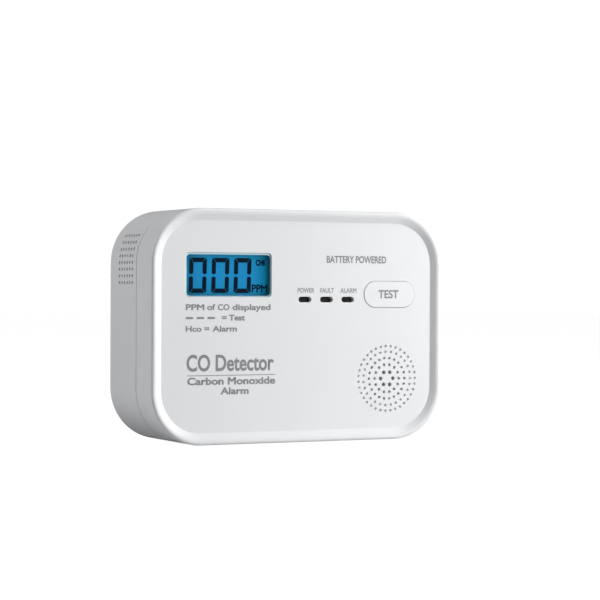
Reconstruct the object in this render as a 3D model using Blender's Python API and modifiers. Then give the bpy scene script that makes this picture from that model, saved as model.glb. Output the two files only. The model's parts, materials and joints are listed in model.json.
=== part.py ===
"""Battery-powered carbon monoxide detector, as an assembly of separate pieces.

Metres, +Z up. The face looks along -Y, +X is to the right of someone facing it, and the origin is
at the middle of the underside, on which the detector can stand.
"""

from math import cos, pi, radians, sin

import bmesh
import bpy
from mathutils import Matrix, Vector

MM = 0.001

# Outer shape
WIDTH = 118 * MM
HEIGHT = 84.4 * MM
DEPTH = 39.6 * MM
CORNER_RADIUS = 19.5 * MM
WALL = 2 * MM
GAP = 0.3 * MM  # between pieces that touch
MID_Z = HEIGHT / 2
FRONT_Y = -DEPTH / 2  # crest of the rim
REAR_Y = DEPTH / 2
CORNER_STEPS = 8

# Rim and face of the front cover
RIM_DEPTH = 1.25 * MM  # how far the face is set back behind the crest of the rim
RIM_OUTER_RADIUS = 1 * MM
RIM_INNER_RADIUS = 3.2 * MM
RIM_SLOPE = radians(26)
RIM_WIDTH = 4.2 * MM  # side of the case to the edge of the flat face
FACE_Y = FRONT_Y + RIM_DEPTH
COVER_INNER_Y = FACE_Y + WALL
PARTING_Y = FACE_Y + 12.9 * MM
TONGUE_INSET = 1.25 * MM
TONGUE_HEIGHT = 2.1 * MM
REAR_EDGE_RADIUS = 1 * MM
HOUSING_INNER_Y = REAR_Y - WALL

# Bosses for the screws
CASE_BOSS_RADIUS = 3.5 * MM
REAR_BOSS_RADIUS = 4.2 * MM
BOARD_BOSS_RADIUS = 2.75 * MM
BOARD_BORE_RADIUS = 1.45 * MM
BOSS_ROOT_Y = COVER_INNER_Y - 0.5 * MM  # bosses start inside the wall that they stand on

# Circuit board
BOARD_FRONT_Y = PARTING_Y + 0.6 * MM
BOARD_BACK_Y = BOARD_FRONT_Y + 1.6 * MM
BOARD_WIDTH = 104 * MM
BOARD_HEIGHT = 71 * MM
ON_BOARD_FRONT_Y = BOARD_FRONT_Y - GAP
ON_BOARD_BACK_Y = BOARD_BACK_Y + GAP

# Display, centred on DISPLAY_X, DISPLAY_Z
DISPLAY_X = -28.5 * MM
DISPLAY_Z = MID_Z + 18.5 * MM
WINDOW_WIDTH = 33.7 * MM
WINDOW_HEIGHT = 15.8 * MM
WINDOW_RADIUS = 1.3 * MM
WINDOW_GAP = 0.25 * MM  # between the window and the edge of its hole, and how far the window is set back
WINDOW_FLANGE = (36.5 * MM, 18.6 * MM)
FRAME_SIZE = (41.6 * MM, 21.8 * MM)
GLASS_WIDTH = 38 * MM
GLASS_HEIGHT = 18.4 * MM
GLASS_FRONT_Y = FACE_Y + 4.6 * MM
GLASS_BACK_Y = GLASS_FRONT_Y + 1.8 * MM
BACKLIGHT_THICKNESS = 3 * MM
STRIP_WIDTH = 32 * MM
STRIP_HEIGHT = 2.2 * MM

# Indicator lamps
LAMP_X = {"power": 2 * MM, "fault": 10.85 * MM, "alarm": 19.7 * MM}
LAMP_Z = MID_Z + 9.7 * MM
SLOT_WIDTH = 5.15 * MM
SLOT_HEIGHT = 2.05 * MM

# Test button and the switch under it
BUTTON_X = 37.3 * MM
BUTTON_Z = MID_Z + 11.65 * MM
BUTTON_HOLE_WIDTH = 21.8 * MM
BUTTON_HOLE_HEIGHT = 9.9 * MM
BUTTON_FRONT_Y = FACE_Y - 0.2 * MM
BUTTON_TRAVEL = 0.6 * MM
COLLAR_SIZE = (26.8 * MM, 14.9 * MM)  # a wall inside the cover that keeps the button square
COLLAR_ROOM = (24.4 * MM, 12.5 * MM)
COLLAR_DEPTH = 3.3 * MM
PLUNGER_TRAVEL = 0.25 * MM
SWITCH_SIDE = 6 * MM
SWITCH_FRONT_Y = ON_BOARD_FRONT_Y - 3.5 * MM
PLUNGER_TIP_Y = SWITCH_FRONT_Y - 2.15 * MM
STEM_TIP_Y = PLUNGER_TIP_Y - (BUTTON_TRAVEL - PLUNGER_TRAVEL) - 0.05 * MM

# Sounder behind the grille
SOUNDER_X = 36.4 * MM
SOUNDER_Z = MID_Z - 19.6 * MM
SOUNDER_RADIUS = 12.8 * MM
SOUNDER_RING_RADIUS = 14.1 * MM
GRILLE_RINGS = ((6, 2.6 * MM, 0.65 * MM), (14, 5.16 * MM, 0.5 * MM), (22, 7.58 * MM, 0.5 * MM))

# Vents in the left side wall, and the sensor behind them
VENT_ROWS = 8
VENT_COLUMNS = 6
VENT_BOTTOM_Z = MID_Z + 15.6 * MM
VENT_ROW_PITCH = 2.415 * MM
VENT_FRONT_Y = FACE_Y + 16.6 * MM
VENT_COLUMN_PITCH = 2.43 * MM
VENT_SIZE = 1.2 * MM
SENSOR_X = -40 * MM
SENSOR_Z = MID_Z + 15 * MM
SENSOR_RADIUS = 10 * MM

# Battery bay, cells and door
CELL_RADIUS = 7.1 * MM
CELL_LENGTH = 50.2 * MM
CELL_PITCH = 15.4 * MM
CELL_X = (-CELL_PITCH, 0, CELL_PITCH)
BAY_HALF_WIDTH = 23.4 * MM
BAY_BOTTOM_Z = 12.3 * MM
BAY_TOP_Z = 72.1 * MM
BAY_FLOOR_Y = REAR_Y - 17.3 * MM
BAY_WALL = 1.6 * MM
CELL_Y = BAY_FLOOR_Y + 0.25 * MM + CELL_RADIUS
RED_WIRE_HOLE = (CELL_X[2] + 5.5 * MM, BAY_TOP_Z - 3.2 * MM)
BLACK_WIRE_HOLE = (CELL_X[0] - 5.5 * MM, BAY_BOTTOM_Z + 3.2 * MM)
CONTACT_THICKNESS = 0.4 * MM
SPRING_LENGTH = 7.3 * MM
DOOR_HALF_WIDTH = 24.7 * MM
DOOR_TOP_Z = 73.7 * MM
DOOR_THICKNESS = 1.9 * MM
HINGE_RADIUS = 1.7 * MM
HINGE_PIN_RADIUS = 0.9 * MM
HINGE_Y = REAR_Y - HINGE_RADIUS
HINGE_Z = 10.6 * MM
SEAT_Y = REAR_Y - 2.2 * MM

# Fasteners and wall slots
CASE_SCREWS = ((-40 * MM, 34.5 * MM), (40 * MM, 34.5 * MM), (-49.4 * MM, -32 * MM), (49.4 * MM, -32 * MM))
CASE_BOSS_MEET_Y = BOARD_BACK_Y + 0.4 * MM
SCREW_SEAT_Y = BOARD_BACK_Y + 8 * MM
SCREW_HOLE_RADIUS = 1.85 * MM
SCREW_SINK_RADIUS = 3.2 * MM
SCREW_SHANK_RADIUS = 1.5 * MM
BOARD_SCREWS = ((-48.5 * MM, 0.5 * MM), (48.5 * MM, 0.5 * MM), (0, -30 * MM))
KEYHOLE_X = 40 * MM
KEYHOLE_Z = MID_Z - 11 * MM  # centre of the round hole that the screw head enters
KEYHOLE_HEAD_RADIUS = 4.2 * MM
KEYHOLE_SLOT_RADIUS = 2.2 * MM
KEYHOLE_DROP = 7 * MM
KEYHOLE_POCKET_DEPTH = 5 * MM

LABEL_X = 42 * MM
LABEL_Z = MID_Z + 15.5 * MM
LABEL_WIDTH = 22 * MM
LABEL_HEIGHT = 16 * MM


# Scene, materials and objects


def clear_scene():
    for obj in list(bpy.data.objects):
        bpy.data.objects.remove(obj, do_unlink=True)


def new_collection(name):
    collection = bpy.data.collections.new(name)
    bpy.context.scene.collection.children.link(collection)
    return collection


clear_scene()
PARTS = new_collection("carbon_monoxide_detector")
CUTTERS = new_collection("cutters")


def material(name, colour, roughness, metallic=0.0):
    made = bpy.data.materials.get(name)
    if made:
        return made
    made = bpy.data.materials.new(name)
    made.use_nodes = True
    shader = made.node_tree.nodes["Principled BSDF"]
    shader.inputs["Base Color"].default_value = (*colour, 1)
    shader.inputs["Roughness"].default_value = roughness
    shader.inputs["Metallic"].default_value = metallic
    return made


def white_abs():
    return material("white_abs", (0.86, 0.87, 0.88), 0.45)


def button_abs():
    return material("button_abs", (0.88, 0.89, 0.9), 0.4)


def clear_lens():
    return material("clear_lens", (0.75, 0.85, 0.9), 0.05)


def display_blue():
    return material("display_blue", (0.02, 0.3, 0.55), 0.2)


def dark_plastic():
    return material("dark_plastic", (0.03, 0.035, 0.04), 0.5)


def board_green():
    return material("board_green", (0.02, 0.2, 0.07), 0.4)


def bright_metal():
    return material("bright_metal", (0.75, 0.75, 0.73), 0.25, 1)


def brass():
    return material("brass", (0.75, 0.58, 0.28), 0.3, 1)


def foam():
    return material("foam", (0.05, 0.05, 0.05), 0.95)


def finish(mesh, name, collection, surface, location=(0, 0, 0)):
    """An object for a mesh, in its collection, with its material, smooth where its faces nearly line up."""
    obj = bpy.data.objects.new(name, mesh)
    obj.location = location
    collection.objects.link(obj)
    if surface:
        mesh.materials.clear()
        mesh.materials.append(surface)
    mesh.shade_smooth()
    mesh.set_sharp_from_angle(angle=radians(35))
    if collection is CUTTERS:
        obj.hide_render = True
        obj.display_type = "WIRE"
    return obj


def mesh_from(bm, name):
    bmesh.ops.recalc_face_normals(bm, faces=bm.faces)
    mesh = bpy.data.meshes.new(name)
    bm.to_mesh(mesh)
    bm.free()
    return mesh


# Shapes


def rounded_outline(width, height, radius, steps=CORNER_STEPS):
    """Points of a rounded rectangle about the origin, counter-clockwise."""
    half_w, half_h = width / 2, height / 2
    points = []
    for corner, (side_x, side_z) in enumerate(((1, 1), (-1, 1), (-1, -1), (1, -1))):
        for step in range(steps + 1):
            angle = pi / 2 * (corner + step / steps)
            across = side_x * (half_w - radius) + radius * cos(angle)
            up = side_z * (half_h - radius) + radius * sin(angle)
            points.append((across, up))
    return points


def flat_outline(name, points, thickness):
    """The mesh of a flat outline in X and Z, with its thickness along Y."""
    curve = bpy.data.curves.new(name, "CURVE")
    curve.dimensions = "2D"
    curve.fill_mode = "BOTH"
    curve.extrude = thickness / 2
    spline = curve.splines.new("POLY")
    spline.points.add(len(points) - 1)
    for point, (across, up) in zip(spline.points, points):
        point.co = (across, up, 0, 1)
    spline.use_cyclic_u = True
    guide = bpy.data.objects.new(name, curve)
    CUTTERS.objects.link(guide)
    bpy.context.view_layer.update()
    graph = bpy.context.evaluated_depsgraph_get()
    bm = bmesh.new()
    made = bpy.data.meshes.new_from_object(guide.evaluated_get(graph))
    bm.from_mesh(made)
    bpy.data.objects.remove(guide)
    bpy.data.meshes.remove(made)
    bmesh.ops.remove_doubles(bm, verts=bm.verts, dist=1e-7)
    bm.transform(Matrix.Rotation(pi / 2, 4, "X"))
    return mesh_from(bm, name)


def plate(name, centre, size, depth, radius=0.0, surface=None, steps=4, collection=PARTS):
    """A rounded plate: centre is (x, z), size is (width, height) and depth is (front y, back y)."""
    x, z = centre
    front, back = depth
    if radius:
        outline = rounded_outline(*size, radius, steps)
        mesh = flat_outline(name, outline, back - front)
    else:
        mesh = box_mesh(name, (size[0], back - front, size[1]))
    return finish(mesh, name, collection, surface, (x, (front + back) / 2, z))


def box_mesh(name, size):
    bm = bmesh.new()
    bmesh.ops.create_cube(bm, size=1, matrix=Matrix.Diagonal((*size, 1)))
    return mesh_from(bm, name)


def box(name, low, high, surface=None, collection=PARTS):
    low, high = Vector(low), Vector(high)
    return finish(box_mesh(name, high - low), name, collection, surface, (low + high) / 2)


def rod(name, centre, radius, depth, surface=None, steps=16, collection=PARTS):
    """A cylinder along Y: centre is (x, z) and depth is (front y, back y)."""
    front, back = depth
    bm = bmesh.new()
    bmesh.ops.create_cone(
        bm, cap_ends=True, segments=steps, radius1=radius, radius2=radius, depth=back - front,
        matrix=Matrix.Rotation(pi / 2, 4, "X"),
    )
    return finish(mesh_from(bm, name), name, collection, surface, (centre[0], (front + back) / 2, centre[1]))


def turned(name, profile, location, surface, axis="Y", steps=16):
    """A turned piece, whose top looks along the axis: profile has (radius, distance) pairs down its side."""
    bm = bmesh.new()
    corners = [bm.verts.new((radius, 0, along)) for radius, along in profile]
    for first, second in zip(corners, corners[1:]):
        bm.edges.new((first, second))
    mesh = bpy.data.meshes.new(name)
    bm.to_mesh(mesh)
    bm.free()
    obj = bpy.data.objects.new(name, mesh)
    obj.location = location
    obj.rotation_euler = {"Y": (-pi / 2, 0, 0), "-Y": (pi / 2, 0, 0), "Z": (0, 0, 0), "-Z": (pi, 0, 0)}[axis]
    PARTS.objects.link(obj)
    mesh.materials.append(surface)
    spin = obj.modifiers.new("Screw", "SCREW")
    spin.axis = "Z"
    spin.steps = steps
    spin.render_steps = steps
    spin.use_merge_vertices = True
    spin.merge_threshold = 0.00001
    spin.use_smooth_shade = True
    return obj


def shell_loft(name, stations, collection, surface=None):
    """The rounded case outline carried through stations of (inset from the case's side, y)."""
    bm = bmesh.new()
    loops = []
    for inset, y in stations:
        outline = rounded_outline(WIDTH - 2 * inset, HEIGHT - 2 * inset, CORNER_RADIUS - inset)
        loops.append([bm.verts.new((x, y, MID_Z + z)) for x, z in outline])
    count = len(loops[0])
    for near, far in zip(loops, loops[1:]):
        for i in range(count):
            j = (i + 1) % count
            bm.faces.new((near[i], near[j], far[j], far[i]))
    bm.faces.new(loops[0])
    bm.faces.new(loops[-1])
    return finish(mesh_from(bm, name), name, collection, surface)


def wire(name, points, radius, surface, loose=False):
    """A round wire along its points, which a smooth curve joins unless they are already close together."""
    if not loose:
        points = smooth_path([Vector(point) for point in points])
    curve = bpy.data.curves.new(name, "CURVE")
    curve.dimensions = "3D"
    curve.bevel_depth = radius
    curve.bevel_resolution = 1
    curve.use_fill_caps = True
    spline = curve.splines.new("POLY")
    spline.points.add(len(points) - 1)
    for point, place in zip(spline.points, points):
        point.co = (*place, 1)
    obj = bpy.data.objects.new(name, curve)
    PARTS.objects.link(obj)
    curve.materials.append(surface)
    return obj


def smooth_path(points, steps=4):
    """A Catmull-Rom curve through the points."""
    ends = [2 * points[0] - points[1], *points, 2 * points[-1] - points[-2]]
    path = []
    for a, b, c, d in zip(ends, ends[1:], ends[2:], ends[3:]):
        for step in range(steps):
            t = step / steps
            bend = (2 * a - 5 * b + 4 * c - d) * t**2 + (3 * b - a - 3 * c + d) * t**3
            path.append(0.5 * (2 * b + (c - a) * t + bend))
    path.append(points[-1])
    return path


def combine(obj, other, operation):
    """A Boolean of a helper object into a part."""
    if other.name in PARTS.objects:
        PARTS.objects.unlink(other)
        CUTTERS.objects.link(other)
    other.hide_render = True
    other.display_type = "WIRE"
    step = obj.modifiers.new(other.name, "BOOLEAN")
    step.operation = operation
    step.solver = "EXACT"
    step.object = other


def cut(obj, *others):
    for other in others:
        combine(obj, other, "DIFFERENCE")


def join(obj, *others):
    for other in others:
        combine(obj, other, "UNION")


def many(name, makers):
    """One cutter made of several separate shapes."""
    bm = bmesh.new()
    for made in makers:
        made.data.transform(Matrix.Translation(made.location))
        bm.from_mesh(made.data)
        bpy.data.objects.remove(made)
    return finish(mesh_from(bm, name), name, CUTTERS, None)


# Case


def case_screw_places():
    for x, dz in CASE_SCREWS:
        yield x, MID_Z + dz


def board_screw_places():
    for x, dz in BOARD_SCREWS:
        yield x, MID_Z + dz


def rim_profile():
    """(inset, y) from the parting line over the crest of the rim and down to the edge of the flat face."""
    profile = [(0, PARTING_Y - GAP / 2)]
    for step in range(5):
        angle = pi / 2 * step / 4
        inset = RIM_OUTER_RADIUS * (1 - cos(angle))
        profile.append((inset, FRONT_Y + RIM_OUTER_RADIUS * (1 - sin(angle))))
    for step in (1, 2, 3):
        angle = RIM_SLOPE * step / 3
        inset = RIM_OUTER_RADIUS + RIM_INNER_RADIUS * sin(angle)
        profile.append((inset, FRONT_Y + RIM_INNER_RADIUS * (1 - cos(angle))))
    profile.append((RIM_WIDTH, FACE_Y))
    return profile


def grille_holes():
    holes = []
    for count, ring_radius, hole_radius in GRILLE_RINGS:
        for i in range(count):
            angle = 2 * pi * i / count
            place = (SOUNDER_X + ring_radius * cos(angle), SOUNDER_Z + ring_radius * sin(angle))
            depth = (FACE_Y - 1 * MM, COVER_INNER_Y + 1 * MM)
            holes.append(rod("grille_hole", place, hole_radius, depth, steps=6, collection=CUTTERS))
    return many("grille_holes", holes)


def tube(name, centre, outer, inner, depth, steps=16):
    """A ring or a boss along Y, to join to a shell."""
    ring = rod(name, centre, outer, depth, steps=steps, collection=CUTTERS)
    if inner:
        hole_depth = (depth[0] - 1 * MM, depth[1] + 1 * MM)
        cut(ring, rod(name + "_hole", centre, inner, hole_depth, steps=steps, collection=CUTTERS))
    return ring


def build_front_cover():
    cover = shell_loft("front_cover", rim_profile(), PARTS, white_abs())
    rebate_y = PARTING_Y - GAP / 2 - TONGUE_HEIGHT - GAP
    cut(cover, shell_loft("cover_cavity", [(WALL, COVER_INNER_Y), (WALL, PARTING_Y + 1 * MM)], CUTTERS))
    rebate = [(TONGUE_INSET - GAP, rebate_y), (TONGUE_INSET - GAP, PARTING_Y + 1 * MM)]
    cut(cover, shell_loft("cover_rebate", rebate, CUTTERS))
    for i, place in enumerate(case_screw_places()):
        boss = (BOSS_ROOT_Y, CASE_BOSS_MEET_Y)
        join(cover, rod(f"case_boss_{i}", place, CASE_BOSS_RADIUS, boss, collection=CUTTERS))
        bore = (COVER_INNER_Y + 1.5 * MM, CASE_BOSS_MEET_Y + 1 * MM)
        cut(cover, rod(f"case_bore_{i}", place, SCREW_HOLE_RADIUS, bore, steps=12, collection=CUTTERS))
    for i, place in enumerate(board_screw_places()):
        boss = (BOSS_ROOT_Y, ON_BOARD_FRONT_Y)
        join(cover, rod(f"board_boss_{i}", place, BOARD_BOSS_RADIUS, boss, collection=CUTTERS))
        bore = (COVER_INNER_Y + 2 * MM, ON_BOARD_FRONT_Y + 1 * MM)
        cut(cover, rod(f"board_bore_{i}", place, BOARD_BORE_RADIUS, bore, steps=12, collection=CUTTERS))
    button = (BUTTON_X, BUTTON_Z)
    wall = (BOSS_ROOT_Y, COVER_INNER_Y + COLLAR_DEPTH)
    room = (COVER_INNER_Y, COVER_INNER_Y + 5 * MM)
    join(cover, plate("button_collar", button, COLLAR_SIZE, wall, COLLAR_SIZE[1] / 2.02, collection=CUTTERS))
    cut(cover, plate("collar_room", button, COLLAR_ROOM, room, COLLAR_ROOM[1] / 2.02, collection=CUTTERS))
    sounder = (SOUNDER_X, SOUNDER_Z)
    ring_depth = (BOSS_ROOT_Y, COVER_INNER_Y + 2.5 * MM)
    ring = tube("sounder_ring", sounder, SOUNDER_RING_RADIUS, SOUNDER_RADIUS + GAP, ring_depth, steps=24)
    join(cover, ring)
    through = (FACE_Y - 1 * MM, COVER_INNER_Y + 1 * MM)
    display = (DISPLAY_X, DISPLAY_Z)
    window = (WINDOW_WIDTH, WINDOW_HEIGHT)
    cut(cover, plate("window_hole", display, window, through, WINDOW_RADIUS, collection=CUTTERS))
    for name, x in LAMP_X.items():
        slot = (SLOT_WIDTH, SLOT_HEIGHT)
        hole = plate(name + "_slot", (x, LAMP_Z), slot, through, SLOT_HEIGHT / 2.05, collection=CUTTERS)
        cut(cover, hole)
    size = (BUTTON_HOLE_WIDTH, BUTTON_HOLE_HEIGHT)
    cut(cover, plate("button_hole", button, size, through, BUTTON_HOLE_HEIGHT / 2.02, collection=CUTTERS))
    cut(cover, grille_holes())


def vent_holes():
    holes = []
    for row in range(VENT_ROWS):
        for column in range(VENT_COLUMNS):
            y = VENT_FRONT_Y + column * VENT_COLUMN_PITCH
            z = VENT_BOTTOM_Z + row * VENT_ROW_PITCH
            half = VENT_SIZE / 2
            low = (-WIDTH / 2 - 1 * MM, y - half, z - half)
            high = (-WIDTH / 2 + 7 * MM, y + half, z + half)
            holes.append(box("vent", low, high, collection=CUTTERS))
    return many("vents", holes)


def keyhole(side, housing):
    """A wall slot: the screw head enters the round hole and slides up behind the wall."""
    x = side * KEYHOLE_X
    tag = "left" if side < 0 else "right"
    top_z = KEYHOLE_Z + KEYHOLE_DROP
    pocket_half = KEYHOLE_HEAD_RADIUS + 0.8 * MM
    pocket_wall = 1.3 * MM
    front = HOUSING_INNER_Y - KEYHOLE_POCKET_DEPTH
    low = Vector((x - pocket_half, front, KEYHOLE_Z - pocket_half))
    high = Vector((x + pocket_half, HOUSING_INNER_Y, top_z + pocket_half))
    grow = Vector((pocket_wall, pocket_wall, pocket_wall))
    outer_high = high + Vector((pocket_wall, 0.5 * MM, pocket_wall))
    join(housing, box(f"pocket_outer_{tag}", low - grow, outer_high, collection=CUTTERS))
    cut(housing, box(f"pocket_{tag}", low, high, collection=CUTTERS))
    through = (HOUSING_INNER_Y - 1 * MM, REAR_Y + 1 * MM)
    place = (x, KEYHOLE_Z)
    cut(housing, rod(f"head_hole_{tag}", place, KEYHOLE_HEAD_RADIUS, through, steps=20, collection=CUTTERS))
    slot_size = (2 * KEYHOLE_SLOT_RADIUS, KEYHOLE_DROP + 2 * KEYHOLE_SLOT_RADIUS)
    slot_centre = (x, KEYHOLE_Z + KEYHOLE_DROP / 2)
    slot = plate(f"slot_{tag}", slot_centre, slot_size, through, KEYHOLE_SLOT_RADIUS * 0.98, collection=CUTTERS)
    cut(housing, slot)


def build_battery_bay(housing):
    """The bay's walls, the seat of the door around its mouth, and the sockets of the hinge."""
    half = BAY_HALF_WIDTH
    step_y = REAR_Y - 5 * MM
    flange = 3.2 * MM
    low = (-half - BAY_WALL, BAY_FLOOR_Y - BAY_WALL, BAY_BOTTOM_Z - BAY_WALL)
    high = (half + BAY_WALL, step_y + 1 * MM, BAY_TOP_Z + BAY_WALL)
    join(housing, box("bay_walls", low, high, collection=CUTTERS))
    low = (-half - flange, step_y, 7.2 * MM)
    high = (half + flange, HOUSING_INNER_Y + 0.5 * MM, BAY_TOP_Z + flange + 0.4 * MM)
    join(housing, box("bay_flange", low, high, collection=CUTTERS))
    for side, tag in ((-1, "left"), (1, "right")):
        socket_x = side * (half + 3 * MM)
        low = (socket_x - 2 * MM, step_y, HINGE_Z - 3.4 * MM)
        high = (socket_x + 2 * MM, HOUSING_INNER_Y + 0.5 * MM, HINGE_Z + 3 * MM)
        join(housing, box(f"hinge_block_{tag}", low, high, collection=CUTTERS))
    low = (-half, BAY_FLOOR_Y, BAY_BOTTOM_Z)
    high = (half, REAR_Y + 1 * MM, BAY_TOP_Z)
    cut(housing, box("bay_room", low, high, collection=CUTTERS))
    low = (-DOOR_HALF_WIDTH - GAP, SEAT_Y, HINGE_Z - HINGE_RADIUS - GAP)
    high = (DOOR_HALF_WIDTH + GAP, REAR_Y + 1 * MM, DOOR_TOP_Z + GAP)
    cut(housing, box("door_seat", low, high, collection=CUTTERS))
    low = (-DOOR_HALF_WIDTH - GAP, HINGE_Y - HINGE_RADIUS - GAP, HINGE_Z - HINGE_RADIUS - GAP)
    high = (DOOR_HALF_WIDTH + GAP, REAR_Y + 1 * MM, HINGE_Z + HINGE_RADIUS + 0.6 * MM)
    cut(housing, box("barrel_room", low, high, collection=CUTTERS))
    cut(housing, hinge_bar("hinge_sockets", DOOR_HALF_WIDTH + 2 * MM, HINGE_PIN_RADIUS + GAP, CUTTERS))
    low = (-6.3 * MM, REAR_Y - 6 * MM, BAY_TOP_Z - 1 * MM)
    high = (6.3 * MM, REAR_Y + 1 * MM, DOOR_TOP_Z + GAP)
    cut(housing, box("tongue_room", low, high, collection=CUTTERS))
    notch = plate(
        "finger_notch", (0, DOOR_TOP_Z), (16 * MM, 7 * MM), (REAR_Y - 1.2 * MM, REAR_Y + 1 * MM), 3.4 * MM,
        collection=CUTTERS,
    )
    cut(housing, notch)
    for side in (-1, 1):
        rib_x = side * CELL_PITCH / 2
        low = (rib_x - 0.4 * MM, BAY_FLOOR_Y - 0.5 * MM, BAY_BOTTOM_Z + 6 * MM)
        high = (rib_x + 0.4 * MM, BAY_FLOOR_Y + 3.2 * MM, BAY_TOP_Z - 6 * MM)
        join(housing, box(f"cell_rib_{side}", low, high, collection=CUTTERS))
    for tag, place in (("red", RED_WIRE_HOLE), ("black", BLACK_WIRE_HOLE)):
        hole_depth = (BAY_FLOOR_Y - BAY_WALL - 1 * MM, BAY_FLOOR_Y + 1 * MM)
        cut(housing, rod(f"{tag}_wire_hole", place, 1.2 * MM, hole_depth, steps=8, collection=CUTTERS))


def hinge_bar(name, half_length, radius, collection, surface=None):
    """A round bar along X on the door's hinge axis."""
    bm = bmesh.new()
    bmesh.ops.create_cone(
        bm, cap_ends=True, segments=16, radius1=radius, radius2=radius, depth=2 * half_length,
        matrix=Matrix.Rotation(pi / 2, 4, "Y"),
    )
    return finish(mesh_from(bm, name), name, collection, surface, (0, HINGE_Y, HINGE_Z))


def build_rear_housing():
    edge = []
    for step in range(4):
        angle = pi / 2 * step / 3
        inset = REAR_EDGE_RADIUS * (1 - cos(angle))
        edge.append((inset, REAR_Y - REAR_EDGE_RADIUS * (1 - sin(angle))))
    housing = shell_loft("rear_housing", [(0, PARTING_Y + GAP / 2), *edge], PARTS, white_abs())
    tongue_y = PARTING_Y - GAP / 2 - TONGUE_HEIGHT
    tongue = [(TONGUE_INSET, tongue_y), (TONGUE_INSET, PARTING_Y + 2 * MM)]
    join(housing, shell_loft("tongue", tongue, CUTTERS))
    cut(housing, shell_loft("housing_cavity", [(WALL, tongue_y - 1 * MM), (WALL, HOUSING_INNER_Y)], CUTTERS))
    for i, place in enumerate(case_screw_places()):
        boss = (CASE_BOSS_MEET_Y + GAP, HOUSING_INNER_Y + 0.5 * MM)
        join(housing, rod(f"rear_boss_{i}", place, REAR_BOSS_RADIUS, boss, collection=CUTTERS))
        hole = (CASE_BOSS_MEET_Y - 1 * MM, REAR_Y + 1 * MM)
        cut(housing, rod(f"rear_hole_{i}", place, SCREW_HOLE_RADIUS, hole, steps=12, collection=CUTTERS))
        sink = (SCREW_SEAT_Y, REAR_Y + 1 * MM)
        cut(housing, rod(f"rear_sink_{i}", place, SCREW_SINK_RADIUS, sink, collection=CUTTERS))
    build_battery_bay(housing)
    keyhole(-1, housing)
    keyhole(1, housing)
    label = (LABEL_WIDTH + 2 * GAP, LABEL_HEIGHT + 2 * GAP)
    label_depth = (REAR_Y - 0.5 * MM, REAR_Y + 1 * MM)
    cut(housing, plate("label_recess", (LABEL_X, LABEL_Z), label, label_depth, 1.2 * MM, collection=CUTTERS))
    cut(housing, vent_holes())


def build_battery_door():
    """The door's origin is on its hinge axis."""
    door = hinge_bar("battery_door", DOOR_HALF_WIDTH, HINGE_RADIUS, PARTS, white_abs())
    low = (-DOOR_HALF_WIDTH, REAR_Y - DOOR_THICKNESS, HINGE_Z)
    high = (DOOR_HALF_WIDTH, REAR_Y, DOOR_TOP_Z)
    join(door, box("door_plate", low, high, collection=CUTTERS))
    join(door, hinge_bar("door_pins", DOOR_HALF_WIDTH + 1.6 * MM, HINGE_PIN_RADIUS, CUTTERS))
    low = (-5.5 * MM, REAR_Y - 5 * MM, DOOR_TOP_Z - 1.4 * MM)
    high = (5.5 * MM, REAR_Y - DOOR_THICKNESS + 0.5 * MM, DOOR_TOP_Z)
    join(door, box("snap_tongue", low, high, collection=CUTTERS))


def build_label():
    depth = (REAR_Y - 0.2 * MM, REAR_Y - 0.02 * MM)
    paper = material("label_film", (0.8, 0.8, 0.78), 0.5)
    plate("rating_label", (LABEL_X, LABEL_Z), (LABEL_WIDTH, LABEL_HEIGHT), depth, 1 * MM, paper)


# Display


def build_display():
    centre = (DISPLAY_X, DISPLAY_Z)
    front = (WINDOW_WIDTH - 2 * WINDOW_GAP, WINDOW_HEIGHT - 2 * WINDOW_GAP)
    lens_depth = (FACE_Y + WINDOW_GAP, COVER_INNER_Y + 0.8 * MM)
    window = plate("display_window", centre, front, lens_depth, WINDOW_RADIUS, clear_lens())
    flange_depth = (COVER_INNER_Y + GAP, COVER_INNER_Y + 1.2 * MM)
    join(window, plate("window_flange", centre, WINDOW_FLANGE, flange_depth, 1.5 * MM, collection=CUTTERS))
    frame_front = COVER_INNER_Y + 1.5 * MM
    pocket_y = GLASS_FRONT_Y - GAP
    frame = plate("lcd_frame", centre, FRAME_SIZE, (frame_front, ON_BOARD_FRONT_Y), surface=dark_plastic())
    aperture = (WINDOW_WIDTH + 2.4 * MM, WINDOW_HEIGHT + 1.2 * MM)
    aperture_depth = (frame_front - 1 * MM, pocket_y + 1 * MM)
    cut(frame, plate("frame_aperture", centre, aperture, aperture_depth, collection=CUTTERS))
    pocket = (GLASS_WIDTH + 2 * GAP, GLASS_HEIGHT + 2 * GAP)
    pocket_depth = (pocket_y, ON_BOARD_FRONT_Y + 1 * MM)
    cut(frame, plate("frame_pocket", centre, pocket, pocket_depth, collection=CUTTERS))
    glass_size = (GLASS_WIDTH, GLASS_HEIGHT)
    plate("lcd_glass", centre, glass_size, (GLASS_FRONT_Y, GLASS_BACK_Y), surface=display_blue())
    backlight_height = GLASS_HEIGHT - STRIP_HEIGHT - 1 * MM
    top = DISPLAY_Z + GLASS_HEIGHT / 2
    backlight_centre = (DISPLAY_X, top - backlight_height / 2)
    backlight_depth = (GLASS_BACK_Y + GAP, GLASS_BACK_Y + GAP + BACKLIGHT_THICKNESS)
    glow = material("backlight", (0.8, 0.9, 0.95), 0.4)
    plate("lcd_backlight", backlight_centre, (GLASS_WIDTH, backlight_height), backlight_depth, surface=glow)
    strip_centre = (DISPLAY_X, DISPLAY_Z - GLASS_HEIGHT / 2 + STRIP_HEIGHT / 2)
    strip_depth = (GLASS_BACK_Y + GAP, ON_BOARD_FRONT_Y)
    rubber = material("contact_rubber", (0.45, 0.42, 0.5), 0.7)
    plate("zebra_strip", strip_centre, (STRIP_WIDTH, STRIP_HEIGHT), strip_depth, surface=rubber)


# Lamps and switch


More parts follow.
